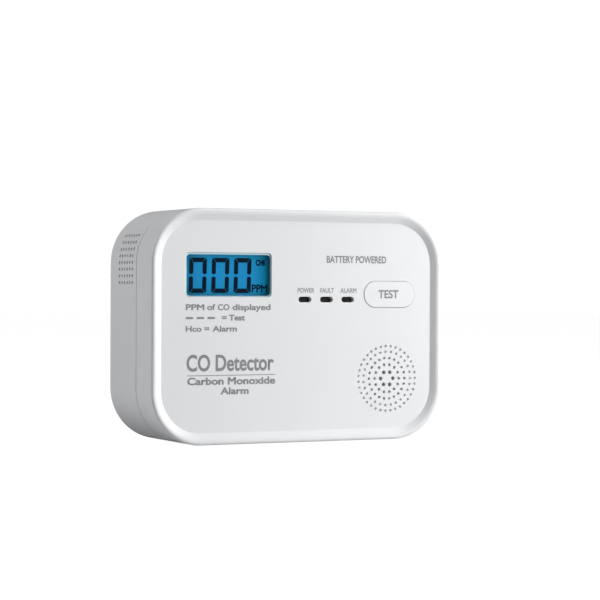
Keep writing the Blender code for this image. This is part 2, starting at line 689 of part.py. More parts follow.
def build_lamps():
    holder_front = ON_BOARD_FRONT_Y - 4 * MM
    holder_centre = (LAMP_X["fault"], LAMP_Z)
    holder_size = (25 * MM, 5.5 * MM)
    holder_depth = (holder_front, ON_BOARD_FRONT_Y)
    holder = plate("led_holder", holder_centre, holder_size, holder_depth, surface=dark_plastic())
    tints = {"power": (0.1, 0.35, 0.15), "fault": (0.5, 0.4, 0.08), "alarm": (0.45, 0.06, 0.05)}
    for name, x in LAMP_X.items():
        room = (holder_front - 1 * MM, ON_BOARD_FRONT_Y + 1 * MM)
        cut(holder, plate(name + "_legs_room", (x, LAMP_Z), (3.8 * MM, 1.6 * MM), room, collection=CUTTERS))
        tint = material(f"lamp_{name}", tints[name], 0.2)
        body_depth = (FACE_Y + 1.1 * MM, holder_front - GAP)
        body_size = (SLOT_WIDTH - 0.6 * MM, SLOT_HEIGHT - 0.6 * MM)
        lamp = plate(f"led_{name}", (x, LAMP_Z), body_size, body_depth, 0.7 * MM, tint)
        for side in (-1, 1):
            leg = (x + side * 1.27 * MM, LAMP_Z)
            leg_depth = (holder_front - 1 * MM, ON_BOARD_FRONT_Y)
            join(lamp, plate(f"{name}_leg_{side}", leg, (0.5 * MM, 0.5 * MM), leg_depth, collection=CUTTERS))


def build_test_button():
    centre = (BUTTON_X, BUTTON_Z)
    clearance = 0.5 * MM
    size = (BUTTON_HOLE_WIDTH - clearance, BUTTON_HOLE_HEIGHT - clearance)
    flange_y = COVER_INNER_Y + GAP
    depth = (BUTTON_FRONT_Y, flange_y + 0.5 * MM)
    button = plate("test_button", centre, size, depth, size[1] / 2.02, button_abs(), steps=6)
    flange = (23.6 * MM, 11.7 * MM)
    flange_depth = (flange_y, flange_y + 1 * MM)
    join(button, plate("button_flange", centre, flange, flange_depth, 5.8 * MM, collection=CUTTERS))
    join(button, rod("button_stem", centre, 2.2 * MM, (flange_y + 0.5 * MM, STEM_TIP_Y), collection=CUTTERS))


def build_switch():
    centre = (BUTTON_X, BUTTON_Z)
    body_size = (SWITCH_SIDE, SWITCH_SIDE)
    body_depth = (SWITCH_FRONT_Y, ON_BOARD_FRONT_Y)
    body = plate("tact_switch_body", centre, body_size, body_depth, 0.6 * MM, dark_plastic(), steps=2)
    bore = (SWITCH_FRONT_Y - 1 * MM, SWITCH_FRONT_Y + 1.5 * MM)
    cut(body, rod("plunger_bore", centre, 2 * MM, bore, collection=CUTTERS))
    plunger_back = SWITCH_FRONT_Y + 1.5 * MM - PLUNGER_TRAVEL - 0.15 * MM
    rod("tact_switch_plunger", centre, 1.7 * MM, (PLUNGER_TIP_Y, plunger_back), dark_plastic())


# Sounder and sensor


def build_sounder():
    centre = (SOUNDER_X, SOUNDER_Z)
    gasket_front = COVER_INNER_Y + GAP
    gasket_back = gasket_front + 0.9 * MM
    gasket = rod("sounder_gasket", centre, SOUNDER_RADIUS, (gasket_front, gasket_back), foam(), steps=24)
    gasket_hole = (gasket_front - 1 * MM, gasket_back + 1 * MM)
    cut(gasket, rod("gasket_hole", centre, 10.8 * MM, gasket_hole, steps=24, collection=CUTTERS))
    front = gasket_back + GAP
    back = ON_BOARD_FRONT_Y
    ledge = back - 3.3 * MM
    housing = rod("sounder_housing", centre, SOUNDER_RADIUS, (front, back), dark_plastic(), steps=24)
    cut(housing, rod("sounder_room", centre, 11.5 * MM, (front - 1 * MM, ledge), steps=24, collection=CUTTERS))
    cut(housing, rod("sounder_chamber", centre, 9.3 * MM, (ledge - 1 * MM, back - 1.5 * MM), collection=CUTTERS))
    low = (SOUNDER_X - SOUNDER_RADIUS - 1 * MM, ledge - 2 * MM, SOUNDER_Z - 2 * MM)
    high = (SOUNDER_X - 8 * MM, back - 1.5 * MM, SOUNDER_Z + 2 * MM)
    cut(housing, box("sounder_wire_slot", low, high, collection=CUTTERS))
    disc_back = ledge - GAP
    rod("piezo_disc", centre, 10.8 * MM, (disc_back - 0.6 * MM, disc_back), brass(), steps=24)
    for tag, dz, colour in (("red", 0.9 * MM, (0.5, 0.02, 0.02)), ("black", -0.9 * MM, (0.02, 0.02, 0.02))):
        z = SOUNDER_Z + dz
        run_y = disc_back + 0.9 * MM
        route = [
            (SOUNDER_X - 5 * MM, run_y, z),
            (SOUNDER_X - 11 * MM, run_y, z),
            (SOUNDER_X - 15 * MM, run_y + 0.2 * MM, z),
            (SOUNDER_X - 18 * MM, back - 1.4 * MM, z + dz),
            (SOUNDER_X - 20 * MM, back, z + 1.5 * dz),
        ]
        wire(f"sounder_wire_{tag}", route, 0.5 * MM, material(f"wire_{tag}", colour, 0.45))


def build_sensor():
    """An electrochemical cell on the back of the board, and the filter inside the vents."""
    can_back = ON_BOARD_BACK_Y + 12.7 * MM
    can = [(0, 12.7 * MM), (9.4 * MM, 12.7 * MM), (SENSOR_RADIUS, 12.1 * MM), (SENSOR_RADIUS, 0), (0, 0)]
    steel = bright_metal()
    turned("co_sensor_can", can, (SENSOR_X, ON_BOARD_BACK_Y, SENSOR_Z), steel, steps=20)
    cap_front = can_back + GAP
    cap_height = 2.4 * MM
    cap_profile = [
        (1.2 * MM, cap_height), (8.6 * MM, cap_height), (9.4 * MM, cap_height - 0.8 * MM), (9.4 * MM, 0),
        (1.2 * MM, 0), (1.2 * MM, cap_height),
    ]
    turned("co_sensor_cap", cap_profile, (SENSOR_X, cap_front, SENSOR_Z), dark_plastic(), steps=20)
    pad_depth = [VENT_FRONT_Y - 1.2 * MM, VENT_FRONT_Y + 14 * MM]
    outer = WALL + GAP
    inner = outer + 1 * MM
    pad = shell_loft("vent_filter", [(outer, pad_depth[0]), (outer, pad_depth[1])], PARTS, foam())
    room = [(inner, pad_depth[0] - 1 * MM), (inner, pad_depth[1] + 1 * MM)]
    cut(pad, shell_loft("filter_room", room, CUTTERS))
    low = (-WIDTH, pad_depth[0] - 1 * MM, VENT_BOTTOM_Z - 2 * MM)
    high = (-49 * MM, pad_depth[1] + 1 * MM, VENT_BOTTOM_Z + 20 * MM)
    combine(pad, box("filter_extent", low, high, collection=CUTTERS), "INTERSECT")


# Circuit board


def build_board():
    centre = (0, MID_Z)
    size = (BOARD_WIDTH, BOARD_HEIGHT)
    board = plate("main_pcb", centre, size, (BOARD_FRONT_Y, BOARD_BACK_Y), 4 * MM, board_green(), steps=3)
    through = (BOARD_FRONT_Y - 1 * MM, BOARD_BACK_Y + 1 * MM)
    for i, place in enumerate(case_screw_places()):
        cut(board, rod(f"boss_hole_{i}", place, CASE_BOSS_RADIUS + 2 * GAP, through, collection=CUTTERS))
    for i, place in enumerate(board_screw_places()):
        cut(board, rod(f"board_screw_hole_{i}", place, 1.8 * MM, through, steps=12, collection=CUTTERS))


def build_components():
    chip_y = ON_BOARD_BACK_Y
    chip = (0, MID_Z + 4 * MM)
    plate("microcontroller", chip, (10 * MM, 10 * MM), (chip_y, chip_y + 1.4 * MM), surface=dark_plastic())
    crystal = (14 * MM, MID_Z + 4 * MM)
    plate("crystal", crystal, (4.4 * MM, 10.6 * MM), (chip_y, chip_y + 3.2 * MM), 2 * MM, bright_metal())
    capacitors = {"supply_capacitor": (0, 5 * MM, 10 * MM), "alarm_capacitor": (13 * MM, 4 * MM, 8 * MM)}
    sleeve = material("capacitor_sleeve", (0.05, 0.08, 0.25), 0.35)
    for name, (dx, radius, length) in capacitors.items():
        profile = [
            (0, length), (radius - 0.5 * MM, length), (radius, length - 0.5 * MM), (radius, 0), (0, 0),
        ]
        place = (34 * MM + dx, chip_y, MID_Z + 20 * MM)
        turned(name, profile, place, sleeve)
    ferrite = material("ferrite", (0.08, 0.08, 0.09), 0.6)
    coil = [
        (0, 5 * MM), (4.5 * MM, 5 * MM), (4.5 * MM, 4 * MM), (3.6 * MM, 3.6 * MM), (3.6 * MM, 1.4 * MM),
        (4.5 * MM, 1 * MM), (4.5 * MM, 0), (0, 0),
    ]
    turned("boost_inductor", coil, (34 * MM, chip_y, MID_Z - 22 * MM), ferrite)
    socket = (33 * MM, MID_Z + 2 * MM)
    ivory = material("socket_nylon", (0.75, 0.72, 0.62), 0.5)
    plate("battery_socket", socket, (6 * MM, 8 * MM), (chip_y, chip_y + 6 * MM), surface=ivory)


# Cells and contacts


def build_cells():
    jacket = material("cell_jacket", (0.12, 0.25, 0.45), 0.35, 0.3)
    nub = 1 * MM
    body = CELL_LENGTH - nub
    r = CELL_RADIUS
    profile = [
        (0, CELL_LENGTH), (2.7 * MM, CELL_LENGTH), (2.75 * MM, body), (r - 0.6 * MM, body), (r, body - 0.6 * MM),
        (r, 0.5 * MM), (r - 0.5 * MM, 0), (0, 0),
    ]
    low = BAY_BOTTOM_Z + 2 * GAP + CONTACT_THICKNESS
    high = BAY_TOP_Z - 2 * GAP - CONTACT_THICKNESS
    for i, x in enumerate(CELL_X):
        upright = i != 1
        base = high - CELL_LENGTH if upright else low + CELL_LENGTH
        turned(f"battery_{i + 1}", profile, (x, CELL_Y, base), jacket, "Z" if upright else "-Z")
        spring_base = low if upright else high
        build_spring(f"battery_spring_{i + 1}", x, spring_base, 1 if upright else -1)


def build_spring(name, x, base, direction):
    """A conical spring from its contact plate to the flat end of the cell."""
    turns = 3.5
    steps = 32
    wire_radius = 0.4 * MM
    wide, narrow = 5.2 * MM, 3 * MM
    rise = SPRING_LENGTH - 2 * wire_radius
    points = []
    for i in range(steps + 1):
        share = i / steps
        angle = 2 * pi * turns * share
        reach = wide + (narrow - wide) * share
        up = base + direction * (wire_radius + rise * share)
        points.append((x + reach * cos(angle), CELL_Y + reach * sin(angle), up))
    wire(name, points, wire_radius, bright_metal(), loose=True)


def build_contacts():
    half_depth = 5.8 * MM
    reach = 5.6 * MM
    bottom = (BAY_BOTTOM_Z + GAP, BAY_BOTTOM_Z + GAP + CONTACT_THICKNESS)
    top = (BAY_TOP_Z - GAP - CONTACT_THICKNESS, BAY_TOP_Z - GAP)
    strips = {
        "battery_contact_negative": (CELL_X[0] - reach, CELL_X[0] + reach, bottom),
        "battery_bridge_bottom": (CELL_X[1] - reach, CELL_X[2] + reach, bottom),
        "battery_bridge_top": (CELL_X[0] - reach, CELL_X[1] + reach, top),
        "battery_contact_positive": (CELL_X[2] - reach, CELL_X[2] + reach, top),
    }
    for name, (left, right, (low, high)) in strips.items():
        box(name, (left, CELL_Y - half_depth, low), (right, CELL_Y + half_depth, high), bright_metal())


def build_battery_wires():
    """Each lead runs from its contact, out through the floor of the bay and along the board to the socket."""
    radius = 0.55 * MM
    lane_y = BAY_FLOOR_Y - BAY_WALL - 1.2 * MM
    start_y = BAY_FLOOR_Y + 1.1 * MM
    socket_x = 33 * MM - 3 * MM - GAP
    red_x, red_z = RED_WIRE_HOLE
    red = [
        (red_x, start_y, BAY_TOP_Z - 1.6 * MM),
        (red_x, start_y - 0.2 * MM, red_z),
        (red_x, lane_y + 0.6 * MM, red_z),
        (red_x + 3 * MM, lane_y, red_z - 4 * MM),
        (red_x + 5 * MM, lane_y, red_z - 14 * MM),
        (red_x + 7 * MM, lane_y, MID_Z + 6 * MM),
        (socket_x, lane_y, MID_Z + 3.5 * MM),
    ]
    black_x, black_z = BLACK_WIRE_HOLE
    black = [
        (black_x, start_y, BAY_BOTTOM_Z + 1.6 * MM),
        (black_x, start_y - 0.2 * MM, black_z),
        (black_x, lane_y + 0.6 * MM, black_z),
        (black_x + 5 * MM, lane_y, black_z + 4 * MM),
        (black_x + 20 * MM, lane_y, black_z + 9 * MM),
        (black_x + 38 * MM, lane_y, black_z + 16 * MM),
        (socket_x - 4 * MM, lane_y, MID_Z - 3 * MM),
        (socket_x, lane_y, MID_Z + 0.5 * MM),
    ]
    wire("battery_wire_red", red, radius, material("wire_red", (0.5, 0.02, 0.02), 0.45))
    wire("battery_wire_black", black, radius, material("wire_black", (0.02, 0.02, 0.02), 0.45))


# Screws


def screw(name, place, head_radius, head_height, shank_radius, length):
    """A pan-head screw driven from the back: place is the point under its head."""
    slot_depth = head_height * 0.55
    profile = [
        (0, head_height - slot_depth), (0.45 * head_radius, head_height - slot_depth),
        (0.5 * head_radius, head_height), (0.8 * head_radius, head_height),
        (head_radius, 0.55 * head_height), (head_radius, 0), (shank_radius, 0),
        (shank_radius, -length + shank_radius), (0.4 * shank_radius, -length), (0, -length),
    ]
    turned(name, profile, place, bright_metal(), steps=10)


def build_screws():
    for i, (x, z) in enumerate(case_screw_places()):
        place = (x, SCREW_SEAT_Y + GAP, z)
        screw(f"case_screw_{i + 1}", place, 2.75 * MM, 2.1 * MM, SCREW_SHANK_RADIUS, 16 * MM)
    for i, (x, z) in enumerate(board_screw_places()):
        place = (x, ON_BOARD_BACK_Y, z)
        screw(f"pcb_screw_{i + 1}", place, 2.3 * MM, 1.7 * MM, 1.1 * MM, 8 * MM)


build_front_cover()
build_rear_housing()
build_battery_door()
build_label()
build_display()
build_lamps()
build_test_button()
build_switch()
build_sounder()
build_sensor()
build_board()
build_components()
build_cells()
build_contacts()
build_battery_wires()
build_screws()
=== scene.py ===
import json
from math import cos, pi, radians, sin, tan

import bmesh
import bpy
from mathutils import Matrix, Vector


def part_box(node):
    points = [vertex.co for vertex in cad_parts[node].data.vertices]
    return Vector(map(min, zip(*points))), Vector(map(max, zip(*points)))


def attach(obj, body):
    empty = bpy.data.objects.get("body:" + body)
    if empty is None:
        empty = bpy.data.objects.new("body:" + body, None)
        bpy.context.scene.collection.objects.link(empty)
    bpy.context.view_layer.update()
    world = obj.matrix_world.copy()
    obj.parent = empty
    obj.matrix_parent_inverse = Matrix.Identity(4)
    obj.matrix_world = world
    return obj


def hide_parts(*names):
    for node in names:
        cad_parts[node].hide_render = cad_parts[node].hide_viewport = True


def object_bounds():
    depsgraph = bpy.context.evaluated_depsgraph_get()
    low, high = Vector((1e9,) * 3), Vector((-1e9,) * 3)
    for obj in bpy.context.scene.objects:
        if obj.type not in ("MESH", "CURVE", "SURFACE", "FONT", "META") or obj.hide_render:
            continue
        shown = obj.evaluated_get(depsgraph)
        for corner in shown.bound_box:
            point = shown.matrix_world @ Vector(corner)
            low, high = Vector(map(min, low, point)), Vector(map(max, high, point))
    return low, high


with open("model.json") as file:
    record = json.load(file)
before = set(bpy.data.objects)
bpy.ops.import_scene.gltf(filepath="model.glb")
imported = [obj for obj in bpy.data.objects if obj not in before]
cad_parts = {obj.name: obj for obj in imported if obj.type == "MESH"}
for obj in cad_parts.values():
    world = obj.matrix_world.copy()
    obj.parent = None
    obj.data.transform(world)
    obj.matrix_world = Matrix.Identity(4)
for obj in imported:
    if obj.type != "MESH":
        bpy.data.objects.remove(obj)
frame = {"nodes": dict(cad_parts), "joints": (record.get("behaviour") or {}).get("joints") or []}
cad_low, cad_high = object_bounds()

MM = 0.001

# The case, from the frame's box
WIDTH = cad_high.x - cad_low.x
HEIGHT = cad_high.z - cad_low.z
MID_Z = (cad_low.z + cad_high.z) / 2
FRONT_Y = cad_low.y
REAR_Y = cad_high.y
LEFT_X = cad_low.x

# Shell sizes, as in the CAD but for the seam, which takes in the rounding of its two edges
CORNER_RADIUS = 19.5 * MM
WALL = 2 * MM
GAP = 0.3 * MM
RIM_OUTER_RADIUS = 1 * MM
RIM_INNER_RADIUS = 3.2 * MM
RIM_FOOT_RADIUS = 0.5 * MM
RIM_SLOPE = radians(26)
RIM_WIDTH = 4.2 * MM
FACE_Y = FRONT_Y + 1.25 * MM
COVER_INNER_Y = FACE_Y + WALL
PARTING_Y = FACE_Y + 12.9 * MM
PARTING_EDGE = 0.06 * MM
SEAM_GAP = 0.42 * MM
TONGUE_INSET = 1.25 * MM
TONGUE_HEIGHT = 2.1 * MM
REAR_EDGE_RADIUS = 1 * MM
HOUSING_INNER_Y = REAR_Y - WALL
BOARD_FRONT_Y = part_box("main_pcb")[0].y
BOARD_BACK_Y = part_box("main_pcb")[1].y
CORNER_STEPS = 20

# Printing
INK_THICKNESS = 0.03 * MM
INK_LIFT = 0.015 * MM


def middle(node):
    low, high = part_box(node)
    return (low + high) / 2


def size(node):
    low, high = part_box(node)
    return high - low


def flat(point):
    """The X and Z of a point on the face."""
    return (point.x, point.z)


# Materials


def set_inputs(node, **values):
    """Sets sockets by their names, with an underscore for each space."""
    for name, value in values.items():
        node.inputs[name.replace("_", " ")].default_value = value


class Surface:
    """A Principled material whose pattern comes from nodes in the object's own coordinates."""

    def __init__(self, name, colour, roughness, metallic=0.0, **sockets):
        self.name = name
        self.made = bpy.data.materials.new(name)
        self.made.use_nodes = True
        self.tree = self.made.node_tree
        self.shader = self.tree.nodes["Principled BSDF"]
        set_inputs(self.shader, Base_Color=(*colour, 1), Roughness=roughness, Metallic=metallic, **sockets)
        self.colour = colour
        self.roughness = roughness
        self.place = self.add("ShaderNodeTexCoord").outputs["Object"]

    def add(self, kind, **settings):
        node = self.tree.nodes.new(kind)
        for key, value in settings.items():
            setattr(node, key, value)
        return node

    def link(self, source, target):
        self.tree.links.new(source, target)

    def drive(self, socket, source):
        self.link(source, self.shader.inputs[socket])

    def texture(self, kind, place, scale, **settings):
        node = self.add("ShaderNodeTex" + kind, **settings)
        set_inputs(node, Scale=scale)
        self.link(place, node.inputs["Vector"])
        return node

    def noise(self, scale, detail=2.0, stretch=(1, 1, 1)):
        mapping = self.add("ShaderNodeMapping")
        set_inputs(mapping, Scale=stretch)
        self.link(self.place, mapping.inputs["Vector"])
        node = self.texture("Noise", mapping.outputs["Vector"], scale)
        set_inputs(node, Detail=detail)
        return node.outputs["Fac"]

    def cells(self, scale):
        return self.texture("Voronoi", self.place, scale).outputs["Distance"]

    def bands(self, direction, scale):
        return self.texture("Wave", self.place, scale, bands_direction=direction).outputs["Fac"]

    def ramp(self, source, stops):
        node = self.add("ShaderNodeValToRGB")
        keys = node.color_ramp.elements
        while len(keys) < len(stops):
            keys.new(0.5)
        for key, (where, colour) in zip(keys, stops):
            key.position = where
            key.color = (*colour, 1)
        self.link(source, node.inputs["Fac"])
        return node.outputs["Color"]

    def spread(self, source, low, high):
        node = self.add("ShaderNodeMapRange")
        set_inputs(node, To_Min=low, To_Max=high)
        self.link(source, node.inputs["Value"])
        return node.outputs["Result"]

    def math(self, operation, first, second=None):
        node = self.add("ShaderNodeMath", operation=operation)
        for socket, value in zip(node.inputs, (first, second)):
            if isinstance(value, (int, float)):
                socket.default_value = value
            elif value is not None:
                self.link(value, socket)
        return node.outputs["Value"]

    def tint(self, source, change):
        """Colour that varies a little about the base colour."""
        darker = [part * (1 - change) for part in self.colour]
        lighter = [min(1.0, part * (1 + change)) for part in self.colour]
        self.drive("Base Color", self.ramp(source, ((0.3, darker), (0.7, lighter))))

    def polish(self, source, change):
        low, high = self.roughness - change, self.roughness + change
        self.drive("Roughness", self.spread(source, low, high))

    def glow(self, source, stops):
        self.drive("Emission Color", self.ramp(source, stops))
        set_inputs(self.shader, Emission_Strength=1)

    def bump(self, source, depth):
        node = self.add("ShaderNodeBump")
        set_inputs(node, Strength=1, Distance=depth)
        self.link(source, node.inputs["Height"])
        self.drive("Normal", node.outputs["Normal"])


def moulded(name, colour, roughness, depth=0.004, grain=900):
    """Moulded plastic: a fine grain, its depth in mm, with slight flow marks and a patchy gloss."""
    surface = Surface(name, colour, roughness)
    surface.tint(surface.noise(18, 3), 0.012)
    surface.polish(surface.noise(140, 3), 0.05)
    surface.bump(surface.noise(grain, 4), depth * MM)
    return surface


def brushed(name, colour, roughness, stretch):
    """Drawn or rolled metal with fine lines along one direction."""
    surface = Surface(name, colour, roughness, 1.0)
    lines = surface.noise(900, 3, stretch)
    surface.tint(lines, 0.08)
    surface.polish(lines, 0.08)
    surface.bump(lines, 0.003 * MM)
    return surface


# Name, colour, roughness, then the grain's depth in mm and its scale where they aren't as usual
PLASTICS = (
    ("white_abs", (0.83, 0.84, 0.855), 0.42),
    ("button_abs", (0.85, 0.86, 0.875), 0.36, 0.002, 1400),
    ("dark_plastic", (0.018, 0.02, 0.023), 0.45, 0.006),
    ("ink", (0.25, 0.252, 0.26), 0.6, 0.002),
    ("pale_ink", (0.34, 0.343, 0.35), 0.6, 0.002),
    # Pale cyan for the window's edge: painted light from the display
    ("window_pale", (0.68, 0.9, 0.97), 0.3),
    ("socket_nylon", (0.75, 0.72, 0.62), 0.5),
    ("label_film", (0.78, 0.78, 0.76), 0.5, 0.001, 2500),
    ("lamp_green", (0.012, 0.019, 0.014), 0.12, 0.001),
    ("lamp_amber", (0.02, 0.017, 0.012), 0.12, 0.001),
    ("lamp_red", (0.021, 0.012, 0.012), 0.12, 0.001),
    ("wire_red", (0.5, 0.02, 0.02), 0.42),
    ("wire_black", (0.02, 0.02, 0.02), 0.42),
    ("capacitor_sleeve", (0.03, 0.05, 0.2), 0.3),
)


def make_surfaces():
    made = [moulded(*row) for row in PLASTICS]
    made += [
        brushed("bright_steel", (0.72, 0.72, 0.7), 0.28, (1, 1, 8)),
        brushed("brass_disc", (0.75, 0.56, 0.26), 0.32, (6, 1, 1)),
        printed_foil("cell_jacket", (0.02, 0.05, 0.14), 0.4),
        printed_foil("cell_band", (0.62, 0.34, 0.14), 0.7),
        foam_surface(), ferrite_surface(), board_surface(), strip_surface(), backlight_surface(),
        lens_surface(), display_surface(), segment_surface(), painted_wall_light_surface(),
    ]
    return {surface.name: surface for surface in made}


def foam_surface():
    surface = Surface("foam", (0.03, 0.03, 0.032), 0.95)
    surface.tint(surface.cells(1600), 0.5)
    surface.bump(surface.cells(1600), 0.15 * MM)
    return surface


def ferrite_surface():
    surface = Surface("ferrite", (0.06, 0.06, 0.065), 0.6)
    surface.tint(surface.noise(600, 5), 0.25)
    surface.bump(surface.noise(900, 5), 0.02 * MM)
    return surface


def board_surface():
    """Solder mask over copper: tracks show through as lighter bands."""
    surface = Surface("board_green", (0.01, 0.12, 0.04), 0.35)
    tracks = surface.math("MULTIPLY", surface.bands("X", 160), surface.bands("Z", 110))
    copper = surface.ramp(tracks, ((0.42, (0.008, 0.1, 0.035)), (0.5, (0.02, 0.22, 0.07))))
    surface.drive("Base Color", copper)
    surface.bump(tracks, 0.03 * MM)
    surface.polish(surface.noise(200, 3), 0.06)
    return surface


def strip_surface():
    """Layers of carbon and silicone in an elastomeric connector."""
    surface = Surface("contact_rubber", (0.3, 0.3, 0.32), 0.7)
    layers = surface.bands("X", 1500)
    shades = surface.ramp(layers, ((0.4, (0.55, 0.5, 0.6)), (0.6, (0.02, 0.02, 0.02))))
    surface.drive("Base Color", shades)
    surface.bump(layers, 0.01 * MM)
    return surface


def backlight_surface():
    surface = Surface("backlight", (0.8, 0.88, 0.92), 0.4)
    surface.tint(surface.cells(900), 0.1)
    surface.bump(surface.cells(900), 0.02 * MM)
    return surface


def printed_foil(name, colour, metallic):
    """A printed metallised sleeve, with faint scuffs."""
    surface = Surface(name, colour, 0.3, metallic)
    wear = surface.noise(220, 5, (1, 1, 0.25))
    surface.tint(wear, 0.15)
    surface.polish(wear, 0.08)
    surface.bump(surface.noise(700, 2), 0.002 * MM)
    return surface


def lens_surface():
    """Clear acrylic: it shows what is behind it, with a faint gloss."""
    surface = Surface("clear_lens", (0.02, 0.05, 0.07), 0.12, Alpha=0.05, Specular_IOR_Level=0.25)
    surface.tint(surface.noise(60, 2), 0.03)
    return surface


def display_surface():
    """The lit face of the display: brightest in the middle and dimmer towards its edges, with a dark band of
    painted shade at its right edge for the shade of the window's right side.
    """
    surface = Surface("display_blue", (0.0, 0.008, 0.015), 0.4, Specular_IOR_Level=0.1)
    low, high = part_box("lcd_glass")
    centre, half = (low + high) / 2, (high - low) / 2
    split = surface.add("ShaderNodeSeparateXYZ")
    surface.link(surface.place, split.inputs["Vector"])
    work = surface.math
    across = work("DIVIDE", work("SUBTRACT", split.outputs["X"], centre.x), half.x)
    up = work("DIVIDE", work("SUBTRACT", split.outputs["Z"], centre.z), half.z)
    side = work("POWER", work("ABSOLUTE", work("SUBTRACT", across, 0.02)), 5)
    edge = work("POWER", work("ABSOLUTE", up), 4)
    # Painted shade: the steep darkening at the right edge stands in for the shade of the window's right side
    right = work("POWER", work("MAXIMUM", across, 0.0), 14)
    backlight_falloff_and_painted_shade = work("ADD", side, work("MULTIPLY", edge, 1.15))
    backlight_falloff_and_painted_shade = work("ADD", backlight_falloff_and_painted_shade, work("MULTIPLY", right, 2))
    backlight_falloff_and_painted_shade = work("ADD", backlight_falloff_and_painted_shade, work("MULTIPLY", surface.noise(90, 3), 0.12))
    stops = (
        (0.0, (0.008, 0.262, 0.58)), (0.25, (0.006, 0.21, 0.42)), (0.6, (0.004, 0.13, 0.235)),
        (1.0, (0.001, 0.05, 0.09)),
    )
    surface.glow(backlight_falloff_and_painted_shade, stops)
    return surface


def painted_wall_light_surface():
    """The deep side of the window: a painted shade, with a faint blue glow that is painted light from the
    display.
    """
    surface = Surface("window_wall_painted_light", (0.004, 0.02, 0.03), 0.5, Specular_IOR_Level=0.1)
    # Painted light: a dark blue glow for the display's light on the wall
    surface.glow(surface.noise(160, 2), ((0.3, (0.0, 0.028, 0.045)), (0.7, (0.001, 0.04, 0.062))))
    return surface


def segment_surface():
    """A switched-on segment: the polariser turns it nearly black."""
    surface = Surface("segment", (0.001, 0.004, 0.01), 0.7, Specular_IOR_Level=0.05)
    surface.glow(surface.noise(400, 2), ((0.3, (0.0, 0.002, 0.008)), (0.7, (0.0, 0.004, 0.014))))
    return surface


SURFACES = make_surfaces()


def paint(obj, surface):
    obj.data.materials.clear()
    obj.data.materials.append(SURFACES[surface].made)
    return obj


# Shapes


def new_object(name, data):
    obj = bpy.data.objects.new(name, data)
    bpy.context.scene.collection.objects.link(obj)
    return obj


def object_from(name, bm):
    bmesh.ops.recalc_face_normals(bm, faces=bm.faces)
    mesh = bpy.data.meshes.new(name)
    bm.to_mesh(mesh)
    bm.free()
    return new_object(name, mesh)


def quarter(steps):
    """Angles from 0 to a right angle."""
    return [pi / 2 * step / steps for step in range(steps + 1)]


def rounded(width, height, radius, steps=CORNER_STEPS):
    """Points of a rounded rectangle about the origin, counter-clockwise."""
    points = []
    for corner, (side_x, side_z) in enumerate(((1, 1), (-1, 1), (-1, -1), (1, -1))):
        for step in range(steps + 1):
            angle = pi / 2 * (corner + step / steps)
            across = side_x * (width / 2 - radius) + radius * cos(angle)
            up = side_z * (height / 2 - radius) + radius * sin(angle)
            points.append((across, up))
    return points


def loft(name, loops):
    """A closed solid through loops of points, with flat ends."""
    bm = bmesh.new()
    rings = [[bm.verts.new(point) for point in loop] for loop in loops]
    count = len(rings[0])
    for near, far in zip(rings, rings[1:]):
        for i in range(count):
            j = (i + 1) % count
            bm.faces.new((near[i], near[j], far[j], far[i]))
    bm.faces.new(rings[0])
    bm.faces.new(rings[-1])
    bmesh.ops.remove_doubles(bm, verts=bm.verts, dist=1e-7)
    return object_from(name, bm)


def case_loft(name, stations):
    """The case outline through stations of (inset from the side, y)."""
    loops = []
    for inset, y in stations:
        outline = rounded(WIDTH - 2 * inset, HEIGHT - 2 * inset, CORNER_RADIUS - inset)
        loops.append([(x, y, MID_Z + z) for x, z in outline])
    return loft(name, loops)


def slab(name, centre, extent, stations, radius, steps=8):
    """A rounded plate through stations of (growth of its outline, y); centre and extent are in X and Z."""
    loops = []
    for grow, y in stations:
        corner = max(radius + grow, 0.02 * MM)
        outline = rounded(extent[0] + 2 * grow, extent[1] + 2 * grow, corner, steps)
        loops.append([(centre[0] + x, y, centre[1] + z) for x, z in outline])
    return loft(name, loops)


def turned(name, stations, centre, axis="Y", steps=32):
    """A round solid through stations of (radius, place along the axis); centre is on the other two axes."""
    loops = []
    for radius, along in stations:
        loop = []
        for i in range(steps):
            angle = 2 * pi * i / steps
            point = [centre[0] + radius * cos(angle), centre[1] + radius * sin(angle)]
            point.insert("XYZ".index(axis), along)
            loop.append(point)
        loops.append(loop)
    return loft(name, loops)


def rod(name, centre, radius, start, end, axis="Y", steps=32):
    return turned(name, [(radius, start), (radius, end)], centre, axis, steps)


def rods(places, radius, start, end):
    return [rod("rod", place, radius, start, end) for place in places]


def box(name, low, high):
    bm = bmesh.new()
    low, high = Vector(low), Vector(high)
    place = Matrix.Translation((low + high) / 2) @ Matrix.Diagonal((*(high - low), 1))
    bmesh.ops.create_cube(bm, size=1, matrix=place)
    return object_from(name, bm)


def rounded_box(name, low, high, edge):
    """A box with every edge rounded."""
    made = box(name, low, high)
    bevel = made.modifiers.new("Bevel", "BEVEL")
    bevel.width = edge
    bevel.segments = 2
    apply_modifiers(made)
    return made


def evaluated(obj):
    """The mesh of an object as its modifiers or its curve make it."""
    bpy.context.view_layer.update()
    graph = bpy.context.evaluated_depsgraph_get()
    return bpy.data.meshes.new_from_object(obj.evaluated_get(graph))


def apply_modifiers(obj):
    made = evaluated(obj)
    obj.modifiers.clear()
    obj.data = made


def taken_from(guide, distance):
    """The mesh of a helper curve, with points nearer than the distance joined; the helper is removed."""
    mesh = evaluated(guide)
    bpy.data.objects.remove(guide)
    bm = bmesh.new()
    bm.from_mesh(mesh)
    bpy.data.meshes.remove(mesh)
    bmesh.ops.remove_doubles(bm, verts=bm.verts, dist=distance)
    return bm


def wire(name, points, radius):
    """A round wire along its points, as a mesh with closed ends."""
    curve = bpy.data.curves.new(name, "CURVE")
    curve.dimensions = "3D"
    curve.bevel_depth = radius
    curve.bevel_resolution = 3
    curve.use_fill_caps = True
    spline = curve.splines.new("POLY")
    spline.points.add(len(points) - 1)
    for point, place in zip(spline.points, points):
        point.co = (*place, 1)
    return object_from(name, taken_from(new_object(name, curve), 1e-7))


